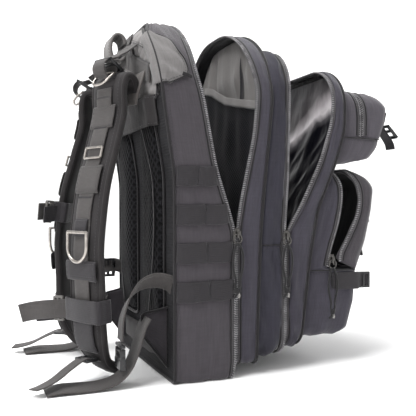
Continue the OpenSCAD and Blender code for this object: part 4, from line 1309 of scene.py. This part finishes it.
def keeper(name, s, z, w, h, body, lift, mat=M_WEB_LIGHT):
    zs = np.linspace(z + h / 2, z - h / 2, 12)
    edge = np.abs(np.linspace(-1, 1, 12)) ** 6
    line = A([on_strap(s, q, 0, lift - 1.6 * e) for q, e in zip(zs, edge)])
    across, out = strap_face(s, z)
    ribbon(name, line, across, w, 2.0, mat, body, n=24)
    run = line[1:-1]
    for k, d in enumerate((-1, 1)):
        stitches(f"{name}_stitches_{k}", run + across * (d * (w / 2 - 3)) + out * 1.1, out, body)
    for k, q in enumerate((z + h / 2 - 3, z - h / 2 + 3)):
        p = on_strap(s, q, 0, lift + 0.9)
        ln = p + across[None] * np.linspace(-w / 2 + 3, w / 2 - 3, 8)[:, None]
        stitches(f"{name}_end_{k}", ln, out, body)


def dress(node, mat):
    """Gives a CAD node that keeps its shape its material."""
    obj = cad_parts[node]
    if obj.material_slots:
        for slot in obj.material_slots:
            slot.material = mat
    else:
        obj.data.materials.append(mat)


def build_sternum(side, s):
    """Half of the chest strap: a band round the shoulder strap, a slider and a free tail."""
    body = f"sternum_{side}"
    q0, lean, base_z, tail_len = (43.2, -3.5, 80, 72) if s < 0 else (44.5, 8, 205, 30)
    a = math.radians(lean)

    def put(lx, q, h):
        return strap_world(s, lx, q0 + q * math.cos(a) - h * math.sin(a),
                           base_z + h * math.cos(a) + q * math.sin(a))
    w, d = STRAP_W / 2 + 2.2, STRAP_T / 2
    ring = [(-w, 0), (-w * 0.985, d + 3.4), (-w * 0.6, d + 5.6), (0, d + 6.8), (w * 0.6, d + 5.6),
            (w * 0.985, d + 3.4), (w, 0), (w * 0.985, -d - 1.6), (w * 0.6, -d - 2.8), (0, -d - 3.0),
            (-w * 0.6, -d - 2.8), (-w * 0.985, -d - 1.6)]
    loop = curve_through(A(ring), 90, closed=True)[:-1]
    c = A([put(x, q, 16) for x, q in loop])
    axis = unit(put(0, 0, 17) - put(0, 0, 16))
    t = tangents(c, True)
    up = np.cross(t, axis)
    band = tube(f"sternum_band_{side}", c, axis, up, flat_section(30, 2.0), M_WEB, body, closed=True)
    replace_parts(band, f"sternum_half_{side}")
    # the tail leaves the strap's inner edge at a slant, through a sliding loop
    turn = math.radians(25)

    def out(dist, side_step=0.0, h=15.0):
        return put(-STRAP_W / 2 - 3 - dist * math.cos(turn) - side_step * math.sin(turn),
                   8 + dist * math.sin(turn) - side_step * math.cos(turn), h)
    along = unit(out(1) - out(0))
    face = unit(np.cross(along, axis))
    place = Matrix.Translation(Vector(out(12, -1))) @ Matrix((along, face, axis)).transposed().to_4x4()
    bars(f"sternum_slider_{side}", [((0, 0, 15), (14, 4.4, 3.2)), ((0, 0, -15), (14, 4.4, 3.2)),
                                    ((-5.6, 0.4, 0), (3.6, 4.4, 32)), ((5.6, 0.4, 0), (3.6, 4.4, 32)),
                                    ((0, -1.4, 0), (3.0, 2.6, 30))],
         M_BUCKLE_GREY, body, bevel=1.0, place=place)
    reach = np.linspace(-6, tail_len, 9)
    droop = 9.0 * np.clip(reach / 72, 0, 1) ** 2
    wave = 2.2 * np.sin(reach / 13.0)
    tail = A([out(r, -2.4 - w_, 15 - g) for r, g, w_ in zip(reach, droop, wave)])
    ribbon(f"sternum_tail_{side}", tail, axis, 25, 2.0, M_WEB_LIGHT, body, n=60)
    reach = np.linspace(-4, min(50, tail_len * 0.8), 7)
    tail = A([out(r, 2.0, 14 - 7.0 * (max(r, 0) / 50) ** 0.7) for r in reach])
    ribbon(f"sternum_tail_under_{side}", tail, axis, 24, 1.8, M_WEB, body, n=44)


def build_strap_top(side, s):
    """Ladder lock on the strap's crest, the curl of webbing in its ring, and the load lifter to the yoke."""
    across, out_h = strap_dirs(s)
    body = f"strap_{side}"

    def put(lx, q, z):
        return strap_world(s, lx, q, z)
    rot = Matrix((across, out_h, (0, 0, 1))).transposed().to_4x4()
    place = Matrix.Translation(Vector(put(0, 11, 416.5))) @ rot @ Matrix.Rotation(math.radians(-58), 4, "X")
    lock = ladder_lock(f"lifter_lock_frame_{side}", place, 34, 26, body)
    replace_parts(lock, f"lifter_lock_{side}")
    # the lifter's end comes over the lock and rolls back under itself
    ang = np.radians(np.linspace(115, -205, 26))
    curl = [(18 + 10.5 * math.cos(a), 411 + 11.5 * math.sin(a)) for a in ang]
    line = A([put(0, 4, 424)] + [put(0, q, z) for q, z in curl] + [put(0, 13, 419)])
    ribbon(f"lifter_curl_{side}", line, across, 25, 1.9, M_WEB_LIGHT, body, n=90)
    # a wire ring hangs in the curl: its bar runs through the roll and its bow lies on the strap
    bow = [(-15, 15, 404), (-15.5, 22, 398), (-13, 27, 392), (-6, 28.5, 389), (6, 28.5, 389), (13, 27, 392),
           (15.5, 22, 398), (15, 15, 404), (8, 13, 406), (-8, 13, 406)]
    c = curve_through(A([put(*q) for q in bow]), 72, closed=True)[:-1]
    n3 = unit(np.cross(across, unit(put(0, 27, 391) - put(0, 14, 405))))
    welt(f"lifter_ring_{side}", c, n3, round_section(1.7, 10), M_STEEL, body,
         closed=True)
    # the lifter between the yoke and the lock
    line = A([put(0, -31, 452), put(0, -24, 447), put(0, -12, 438), put(0, 0, 431), put(0, 5, 427)])
    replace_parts(ribbon(f"load_lifter_web_{side}", line, across, 25, 2.2, M_WEB_LIGHT, "shell", n=36),
                f"load_lifter_{side}")
    # webbing over the crest that the lock is sewn to
    crest = STRAP_LINE[(STRAP_LINE[:, 1] > 384)]
    crest = crest[crest[:, 0] > -14]
    tt = tangents(crest)
    nn = np.stack([-tt[:, 1], tt[:, 0]], axis=1)
    nn *= np.sign(nn[:, 1].mean())
    line = A([put(0, q + a * 8.4, z + b * 8.4) for (q, z), (a, b) in zip(crest[::4], nn[::4])])
    ribbon(f"crest_webbing_{side}", line, across, 30, 2.0, M_WEB, body, n=40)
    # cloth that closes the gap between the yoke's lower edge and the strap's root
    lx = np.linspace(-30, 32, 24)[:, None]
    v = np.linspace(0, 1, 16)[None, :]
    root = put(lx, -9 - 12 * (1 - v) ** 2, 404 - 40 * v)
    top = put(lx, 0 * lx, 0 * v)
    yoke_y = profile(SHELL_BACK, 9)(404.0) + 7.5
    k = (1 - v[..., None]) ** 1.6
    start = points(top[..., 0], yoke_y, 412.0)
    P = start * k + root * (1 - k)
    P[..., 1] += 1.6 * ripple(lx * 1.0, v * 40, 111, 34, 60) * np.sin(math.pi * v)
    P[..., 2] += 3.0 * np.sin(math.pi * (lx + 30) / 62) * np.sin(math.pi * v)
    grid(f"root_cover_{side}", P, [M_YOKE_LOW, M_DARK], "shell", toward=(0, 1, 0.3),
         thick=1.8)


def build_harness_base():
    back = profile(SHELL_BACK, 9)
    # the yoke: a smooth panel over the top of the back, with a sewn edge
    o = Outline((256, 484, 110, 372), 14, 3)
    z = np.linspace(374, 483, 70)
    hw = o.half_width(z)
    u = crosswise(80)
    edge = (1 - np.abs(u) ** 5) * smoothstep((z - 372) / 10)[:, None] * smoothstep((484 - z) / 10)[:, None]
    x = u * hw[:, None]
    slant = z[:, None] - 0.55 * np.abs(x)
    crease = ripple(slant, np.abs(x) * 0.25, 93, 26, 160, 5) * smoothstep((np.abs(x) - 30) / 30)
    y = back(z)[:, None] + 1.0 + edge * (5.0 + 1.0 * ripple(x, z[:, None], 91, 70, 60) + 1.5 * crease)
    yoke = grid("yoke_cloth", points(x, y, z[:, None]), [M_YOKE, M_DARK], "shell",
                toward=(0, 1, 0), thick=2.0)
    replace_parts(yoke, "yoke")
    c = points(o.p[:, 0] * 0.995, back(o.p[:, 1]) + 2.6, o.p[:, 1])
    welt("yoke_piping", c, REAR, round_section(1.5, 8), M_BIND, "shell", closed=True)
    # flat webbing that runs down across the yoke from the handle to each side
    for side, s in SIDES:
        t = np.linspace(0, 1, 24)
        xs, zs = -s * 26 * (1 - t) ** 3 + s * (24 + 90 * t), 447 - 44 * t - 4 * np.sin(math.pi * t)
        line = points(xs, back(zs) + 8.6 - 2.0 * t, zs)
        across = unit(A([s * 0.44, 0.12, 0.9]))
        ribbon(f"yoke_webbing_{side}", line, across, 25, 2.0, M_WEB_LIGHT, "shell", n=60)
        edge_line = line + across * 13.0
        tube(f"yoke_webbing_edge_{side}", edge_line, across, REAR,
             round_section(0.8, 6), M_BIND, "shell")
        stitches(f"yoke_webbing_stitches_{side}", line + across * 9.5 + A([0, 1.2, 0]),
                 A([0, 1.0, 0.1]), "shell")
        tacks(f"yoke_webbing_tacks_{side}", [line[-2] + A([0, 1.3, 0]), line[5] + A([0, 1.3, 0])], across,
              (s * 0.9, 0, -0.44), (0, 1, 0), 22, "shell", lines=2)
    # a curved topstitch like a seam across the yoke
    xs = np.linspace(-96, 96, 90)
    zc = 470 - 26 * (np.abs(xs) / 96) ** 1.6
    line = points(xs, back(zc) + 7.4, zc)
    stitches("yoke_topstitch", line, A([0, 1.0, 0.1]), "shell")
    tube("yoke_seam", line - A([0, 0.6, 3.4]), UP, REAR,
         round_section(0.9, 6), M_BIND, "shell")
    # flat webbing across the yoke that anchors the handle
    for k, (zz, half, lean) in enumerate(((466, 38, -0.3), (446, 52, 0.1))):
        line = points(np.linspace(-half, half, 30), back(zz) + 8.2, zz)
        ribbon(f"handle_anchor_{k}", line, (0, lean, 1), 16, 2.0, M_WEB_LIGHT, "shell", n=40)
        places = [p + A([0, 1.2, 0]) for p in (line[2], line[-3], line[10], line[19])]
        tacks(f"handle_anchor_tacks_{k}", places, (0, 0.1, 1), (1, 0, 0), (0, 1, -0.1), 15, "shell", lines=2)
    # thick carry handle: a padded, stitched loop
    path = [(78.5, 463), (80, 471), (85.5, 476), (92, 475.5), (97, 469.5), (99.5, 460), (99, 450), (95, 441),
            (88, 438.5), (82, 441), (79.4, 445)]
    line = A([(0, y, z) for y, z in path])
    c = curve_through(line, 60)
    sx = A([1.0, 0, 0])
    up = np.cross(tangents(c), sx)
    sec = flat_section(40, 4.6, 5)
    handle = tube("handle_loop", c, sx, up, sec, M_HANDLE, "carry_handle")
    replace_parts(handle, "grab_handle")
    for d in (-1, 1):
        stitches(f"handle_stitches_{'ab'[d > 0]}", c + sx * d * 16 + up * 2.4, up, "carry_handle")
        stitches(f"handle_stitches_in_{'ab'[d > 0]}", c + sx * d * 16 - up * 2.4, -up, "carry_handle")
    # plain band over the pads' tops
    z = np.linspace(336, 376, 24)[:, None]
    x = crosswise(60) * 112
    y = back(z) + 12.5 + (1 - (x / 112) ** 2) * 1.0 - 9 * smoothstep((np.abs(x) - 96) / 16) + 0.5 * ripple(
        x, z, 93, 60, 30)
    grid("back_top_band", points(x, y, z), [M_STRAP, M_DARK], "shell",
         toward=(0, 1, 0), thick=2.0)
    for k, zz in enumerate((339.0, 373.0)):
        line = points(x[0], back(zz) + 13.8 + (1 - (x[0] / 112) ** 2) * 1.0
                         - 9 * smoothstep((np.abs(x[0]) - 96) / 16), zz)
        stitches(f"back_band_stitches_{k}", line, REAR, "shell")


def pad_outline():
    """The outline of one back pad, seen from the back: (x, z) points, counter-clockwise."""
    pts = [(26, 70), (60, 67), (98, 70), (104, 84), (104.5, 180), (104, 270), (100, 318), (92, 350),
           (70, 358), (46, 352), (30, 334), (24, 300), (23, 200), (23, 90)]
    return curve_through(A(pts, float), 150, closed=True)[:-1]


VOXEL = 4.5            # mm, of the cloth that is simulated
PRESSURE = 4.0
SIM_FRAMES = 20


def inflate(obj, pinned, cap):
    """Lets a padded piece swell under a little inner pressure, as stuffed cloth does. pinned says which
    points stay sewn down, and cap is how far a point may move (mm). The result is applied to the mesh."""
    scene = bpy.context.scene
    mod = obj.modifiers.new("remesh", "REMESH")
    mod.mode, mod.voxel_size, mod.use_smooth_shade = "VOXEL", VOXEL * MM, True
    even = bpy.data.meshes.new_from_object(obj.evaluated_get(bpy.context.evaluated_depsgraph_get()))
    obj.modifiers.clear()
    work = bpy.data.objects.new("simulated", even)
    bpy.context.collection.objects.link(work)
    start = np.zeros(3 * len(even.vertices), np.float32)
    even.vertices.foreach_get("co", start)
    start = start.reshape(-1, 3)
    group = work.vertex_groups.new(name="sewn")
    group.add(np.nonzero(pinned(start / MM))[0].tolist(), 1.0, "REPLACE")
    cloth_mod = work.modifiers.new("cloth", "CLOTH")
    st = cloth_mod.settings
    st.quality, st.mass, st.effector_weights.gravity = 6, 0.3, 0.0
    st.use_pressure, st.uniform_pressure_force = True, PRESSURE
    st.tension_stiffness = st.compression_stiffness = 18
    st.bending_stiffness = 2.0
    st.vertex_group_mass = "sewn"
    cloth_mod.collision_settings.use_collision = False
    first = scene.frame_current
    for frame_no in range(1, SIM_FRAMES + 1):
        scene.frame_set(frame_no)
    end = np.zeros_like(start).ravel()
    work.evaluated_get(bpy.context.evaluated_depsgraph_get()).data.vertices.foreach_get("co", end)
    step = (end.reshape(-1, 3) - start) / MM
    far = np.linalg.norm(step, axis=1, keepdims=True)
    step = step * np.minimum(1.0, cap / np.maximum(far, 1e-6))
    step = np.where(np.isfinite(step), step, 0)
    even.vertices.foreach_set("co", (start + step * MM).astype(np.float32).ravel())
    even.update()
    scene.frame_set(first)
    for m in obj.data.materials:
        if m.name not in [x.name for x in even.materials if x]:
            even.materials.append(m)
    even.polygons.foreach_set("use_smooth", [True] * len(even.polygons))
    bpy.data.objects.remove(work)
    obj.data = even
    sub = obj.modifiers.new("smooth", "SUBSURF")
    sub.levels = sub.render_levels = 1


def build_pad(name, outline, s, back, depth, mat, node):
    """A padded panel: a crowned closed form whose middle stands proud and whose edge is sewn down."""
    centre = outline.mean(0)
    rings, n = 22, len(outline)
    P = np.zeros((rings, n, 3))
    for j, q in enumerate(np.linspace(1, 0, rings)):
        p = centre + (outline - centre) * q
        y = back(p[:, 1]) + 0.9 + depth * (1 - q ** 4.5) ** 0.55
        P[j] = points(s * p[:, 0], y + 0.35 * ripple(p[:, 0], p[:, 1], 97, 40, 50), p[:, 1])
    low = P[0].copy()
    low[:, 1] = back(low[:, 2]) + 0.45
    verts = np.vstack([low[None], P]).reshape(-1, 3)
    idx = np.arange(len(verts)).reshape(rings + 1, n)
    faces = []
    for a, b in zip(idx[:-1], idx[1:]):
        faces += np.stack([a, np.roll(a, -1), np.roll(b, -1), b], axis=1).tolist()
    base = len(verts)
    middle = [(s * centre[0], back(centre[1]) + rise, centre[1]) for rise in (0.9 + depth, 0.45)]
    verts = np.vstack([verts, A(middle)])
    for i in range(n):
        faces.append([idx[-1][i], idx[-1][(i + 1) % n], base])
        faces.append([idx[0][(i + 1) % n], idx[0][i], base + 1])
    obj = finish_mesh(name, verts, faces, mat, "shell")
    bm = bmesh.new()
    bm.from_mesh(obj.data)
    bmesh.ops.recalc_face_normals(bm, faces=bm.faces)
    bm.to_mesh(obj.data)
    bm.free()
    inflate(obj, lambda p: p[:, 1] - back(p[:, 2]) < 2.4, 3.0)
    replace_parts(obj, node)
    return obj


def build_yoke_side(shell, side, s):
    """The yoke's end, folded round the pack's shoulder on to the side."""
    o = shell.o
    keep = (o.p[:, 0] * s > 0) & (o.p[:, 1] > 386) & (o.p[:, 1] < 462)
    idx = np.nonzero(keep)[0]
    idx = idx[np.argsort(o.p[idx, 1])]
    z = o.p[idx, 1]
    yb, yf = shell.back(z), shell.front(z)
    end = np.minimum(np.interp(z, (386, 398, 404, 417, 443, 452, 462), (54, 27, 26, 27, 42, 55, 66)), yb - 2)
    cols = np.linspace(0, 1, 22)
    rows = []
    for i, b, f, e in zip(idx, yb, yf, end):
        y = b - 1 + (e - b + 1) * cols
        t = (y - b) / (f - b)
        d = shell.bulge(t, o.s[i], o.p[i, 1]) + 2.0
        d = d + 1.3 * ripple(o.p[i, 1] - 0.7 * y, y, 121, 24, 120) * np.sin(math.pi * cols) ** 0.6
        side_pts = points(o.p[i, 0] + o.n[i, 0] * d, y, o.p[i, 1] + o.n[i, 1] * d)
        back_pts = [[o.p[i, 0] - o.n[i, 0] * k, b + r, o.p[i, 1] - o.n[i, 1] * k] for k, r in
                    ((12, 7.0), (6, 6.6), (1.5, 5.2), (-1.8, 2.8))]
        rows.append(np.vstack([back_pts, side_pts]))
    P = A(rows)
    grid(f"yoke_side_{side}", P, [M_YOKE_SIDE, M_DARK], "shell", toward=(s, 0.3, 0),
         thick=1.8)
    rim = np.vstack([P[0, 4:], P[1:, -1]])
    c = curve_through(rim[::3], 70)
    out = A([s, 0.0, 0.25])
    t = tangents(c)
    out = square_to(out, t)
    tube(f"yoke_side_seam_{side}", c + out * 0.2, np.cross(t, out), out, round_section(1.0, 8), M_BIND,
         "shell")
    stitches(f"yoke_side_stitches_{side}", c + out * 0.9 + np.cross(t, out) * 3.2 * s, out, "shell")
    corner = rim[24]
    tab = A([corner + A([s * 1.4, 3, 3]), corner + A([s * 2.6, -4, 1]), corner + A([s * 1.6, -10, -1])])
    ribbon(f"yoke_side_tab_{side}", tab, (0, 0.1, 1), 5, 1.4, M_BIND, "shell", n=12)


def build_back_pads():
    back = profile(SHELL_BACK, 9)
    outline = pad_outline()
    for side, s in SIDES:
        pad = build_pad(f"back_cushion_{side}", outline, s, back, 10.5, M_MESH, f"back_pad_{side}")
        c = points(s * outline[:, 0], back(outline[:, 1]) + 2.2, outline[:, 1])
        welt(f"back_pad_binding_{side}", c, REAR, oval_section(2.4, 1.8), M_BIND, "shell", closed=True)
        # a curved seam down the pad
        zz = np.linspace(84, 340, 80)
        xx = 66 + 26 * np.sin((zz - 84) / 256 * math.pi)
        line = points(s * xx, back(zz) + 12.4, zz)
        tube(f"back_pad_seam_{side}", line, A([1.0, 0, 0]), REAR,
             oval_section(2.2, 0.9), M_BIND, "shell")
    lum = [(-94, 24), (-60, 21.5), (0, 21), (60, 21.5), (94, 24), (96, 40), (92, 57), (50, 59), (0, 59.5),
           (-50, 59), (-92, 57), (-96, 40)]
    lum = curve_through(lum, 160, closed=True)[:-1]
    pad = build_pad("lumbar_cushion", lum, 1, back, 7.5, M_STRAP, "lumbar_pad")


def build_lower_harness(side, s):
    """The wing at the pack's lower corner, the hip webbing, and the webbing to the strap's lower end."""
    x = 111.5
    # wing: a stitched triangle of cloth with a thick hem
    rows = np.linspace(0, 1, 24)[:, None]
    cols = np.linspace(0, 1, 20)[None, :]
    y = 46 + rows * 33.0
    zlo = 17 + rows * 44
    zhi = 95.5 - rows * 8
    z = zlo + (zhi - zlo) * cols
    xx = x + 1.2 * ripple(y, z, 101 + int(s), 40, 40) * rows - 3.0 * rows ** 2
    wing = grid(f"wing_{side}", points(s * xx, y, z), [M_CLOTH_DARK, M_CLOTH_DARK], "shell",
                toward=(s, 0, 0), thick=4.0)
    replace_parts(wing, f"strap_anchor_{side}")
    edge = A([[s * (x + 1), 46, 17], [s * x, 62, 38], [s * (x - 2), 79, 61], [s * (x - 2.5), 79.6, 74],
              [s * (x - 2), 79, 87.5], [s * x, 62, 92], [s * (x + 1), 46, 95.5]], float)
    c = curve_through(edge, 70)
    welt(f"wing_hem_{side}", c, A([s, 0, 0.0]), oval_section(1.8, 3.0), M_BIND, "shell")
    # hip webbing: out of the wing, down, and along the floor with one lazy wave
    mid = s * 119
    path = A([[mid, 76, 86], [mid, 83, 73], [mid, 90, 50], [mid, 100, 26], [mid, 115, 10.5], [mid, 136, 4.2],
              [mid, 160, 3.4], [mid, 184, 4.6], [mid, 205, 2.2]], float)
    lean = A([[1, 0, 0], [1, 0, 0], [1, 0, 0], [1, 0, 0.05], [1, 0, 0.02], [1, 0, 0.0], [1, 0, 0.04],
              [1, 0.0, 0.08], [1, 0.0, 0.02]], float)
    belt = ribbon(f"belt_webbing_{side}", path, lean, 38, 2.0, M_WEB_LIGHT, "shell", n=90)
    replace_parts(belt, f"belt_{side}")
    # lower webbing: from the pack's side to a buckle beside the strap's end
    lx = s * 122.5
    path = A([[s * 131, 40, 122], [lx + s * 6, 52, 131], [lx + s * 1, 68, 133], [lx, 86, 127], [lx, 101, 110],
              [lx, 110, 86], [lx, 112, 60]], float)
    lean = A([[0.4 * s, 0.25, 1], [0.7 * s, 0, 0.7], [s, 0, 0.1]] + [[s, 0, 0]] * 4, float)
    web = ribbon(f"lower_web_{side}", path, lean, 25, 2.0, M_WEB_LIGHT, "shell", n=70)
    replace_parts(web, f"lower_webbing_{side}")
    if s > 0:      # on the right side a slider sits high on this webbing
        place = Matrix.Translation((s * 122.5, 70, 129)) @ Matrix.Rotation(math.radians(90), 4, "Z")
        ladder_lock("side_slider_right", place @ Matrix.Rotation(math.radians(90), 4, "Y"), 30, 20, "shell")
    # side-release buckle: moulded body with side prongs and a ladder end
    place = Matrix.Translation((lx, 112, 39))
    boxes = [((0, 0, -9), (30, 8, 14)), ((-11.5, 0, 3), (5, 7, 16)), ((11.5, 0, 3), (5, 7, 16)),
             ((0, 0, 14), (30, 6.4, 4.4)), ((0, 0, 7), (22, 4.6, 3.2)), ((0, 1.4, -1.4), (20, 6.4, 4.0)),
             ((-13.6, 0, -3), (3.4, 6.0, 9)), ((13.6, 0, -3), (3.4, 6.0, 9)),
             ((0, -1.5, -14.6), (24, 4.4, 3.6))]
    buckle = bars(f"side_buckle_{side}", boxes, M_BUCKLE, "shell", bevel=1.5, place=place)
    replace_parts(buckle, f"lower_buckle_{side}")


def build_compression(side, s):
    """The lower pocket's compression strap and its ladder lock, at the pocket's front corner."""
    body = "organizer_front"
    x = s * 126.2
    line = [[x, -198, 121.5], [x + s * 0.4, -222, 121], [x, -240, 120.5], [x - s * 1.5, -247, 120.3]]
    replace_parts(ribbon(f"compression_web_{side}", line, (0, 0, 1), 25, 2.0, M_WEB, body, n=40),
                f"compression_strap_{side}")
    places = [A([x + s * 1.2, y, 121.5]) for y in (-200, -206)]
    tacks(f"compression_tacks_{side}", places, (0, 0, 1), (0, 1, 0), (s, 0, 0), 22, body)
    place = Matrix.Translation((s * 121, -257.5, 120.5)) @ Matrix.Rotation(math.radians(90 + s * 8), 4, "Z")
    boxes = [((0, 0, 10), (21, 4.8, 3.6)), ((0, 0, -10), (21, 4.8, 3.6)), ((-8.5, 0, 0), (4, 4.8, 23)),
             ((8.5, 0.4, 0), (4.4, 5.2, 24)), ((0, 1.4, 0), (3.6, 3.6, 21))]
    bars(f"compression_lock_{side}", boxes, M_BUCKLE, body, bevel=1.1, place=place)
    web = A([[x - s * 1.5, -244, 120.4], [x - s * 4.5, -252, 120.4], [x - s * 5.5, -258, 120.4],
             [x - s * 4.0, -263.5, 120.4]], float)
    ribbon(f"compression_loop_{side}", web, (0, 0, 1), 19, 1.8, M_WEB, body, n=24)


# ---- everything together ---------------------------------------------------------------------------

shell = build_shell()
build_front_panel()
build_organizer()
build_flap()
lower = build_lower_pocket()
build_lower_front_wall(lower)
pocket_zip(lower, profile([(-193, 137.6), (-199, 166), (-212, 202), (-219, 235), (-219, 262), (-212, 275),
                           (-204, 284)], 5), -1, 141, "organizer_front", "lower_zip")
build_lower_flap()
build_upper_pocket()
build_lid()
build_side_rows(shell)
for side, s in SIDES:
    build_strap(side, s)
for side, s in SIDES:
    build_sternum(side, s)
    build_strap_top(side, s)
    build_lower_harness(side, s)
    build_compression(side, s)
build_harness_base()
for side, s in SIDES:
    build_yoke_side(shell, side, s)
build_back_pads()
dress("frame_sheet", M_BOARD)

# ---- floor and light -------------------------------------------------------------------------------

# Area lamps: name, place (m), power (W) and size (m). All of them face one point.
LAMPS = (("key", (-1.0, 1.5, 2.2), 46, 1.0), ("fill", (-1.8, -1.4, 1.0), 6, 1.8),
         ("top", (0.1, 0.3, 2.6), 62, 1.3), ("back_left", (-0.6, 2.4, 0.9), 12, 1.2))
LIT_POINT = (0, -0.05, 0.25)
SKY = 0.62             # strength of the white surroundings
GLOW = 0.55            # how much the backdrop glows at the top
FLOOR_END = 3200       # mm along the view, where the floor starts to curve up
CURVE_R = 1400


def build_stage():
    k = Nodes("studio_floor")
    p = k.space(False)
    f = k.noise(p, (0.002, 0.002, 0.002))
    k.done(k.ramp(f, [(0.3, (0.95, 0.95, 0.95)), (0.7, (0.97, 0.97, 0.97))]), 0.9)
    # the backdrop glows a little as it rises, so that it stays as pale as the floor
    height = k.node("SeparateXYZ", Vector=p).outputs["Z"]
    k.bsdf.inputs["Emission Color"].default_value = (1, 1, 1, 1)
    glow = k.math("MULTIPLY", k.math("DIVIDE", height, 900.0, clamp=True), GLOW)
    k.link(glow, k.bsdf.inputs["Emission Strength"])
    quarter = np.linspace(0, math.pi / 2, 24)[1:]
    run = np.concatenate([np.linspace(-6000, FLOOR_END, 10), FLOOR_END + CURVE_R * np.sin(quarter),
                          [FLOOR_END + CURVE_R] * 4])
    rise = np.concatenate([np.zeros(10), CURVE_R * (1 - np.cos(quarter)), [2600, 4000, 6000, 9000]])
    view, wide = A(VIEW), A([VIEW[1], -VIEW[0]])
    P = [[[*(view * r + wide * w), z - 0.3] for w in np.linspace(-7000, 7000, 12)] for r, z in zip(run, rise)]
    floor = grid("studio_floor", A(P, float), k.mat, None, toward=(0, 0, 1))
    world = bpy.data.worlds.new("studio")
    bpy.context.scene.world = world
    world.use_nodes = True
    world.node_tree.nodes["Background"].inputs[0].default_value = (1, 1, 1, 1)
    world.node_tree.nodes["Background"].inputs[1].default_value = SKY

    for name, where, power, size in LAMPS:
        light = bpy.data.lights.new(name, "AREA")
        light.energy, light.size = power, size
        obj = bpy.data.objects.new(name, light)
        obj.location = where
        obj.rotation_euler = (Vector(LIT_POINT) - Vector(where)).to_track_quat("-Z", "Y").to_euler()
        bpy.context.collection.objects.link(obj)


build_stage()
bpy.context.scene.view_settings.view_transform = "Standard"
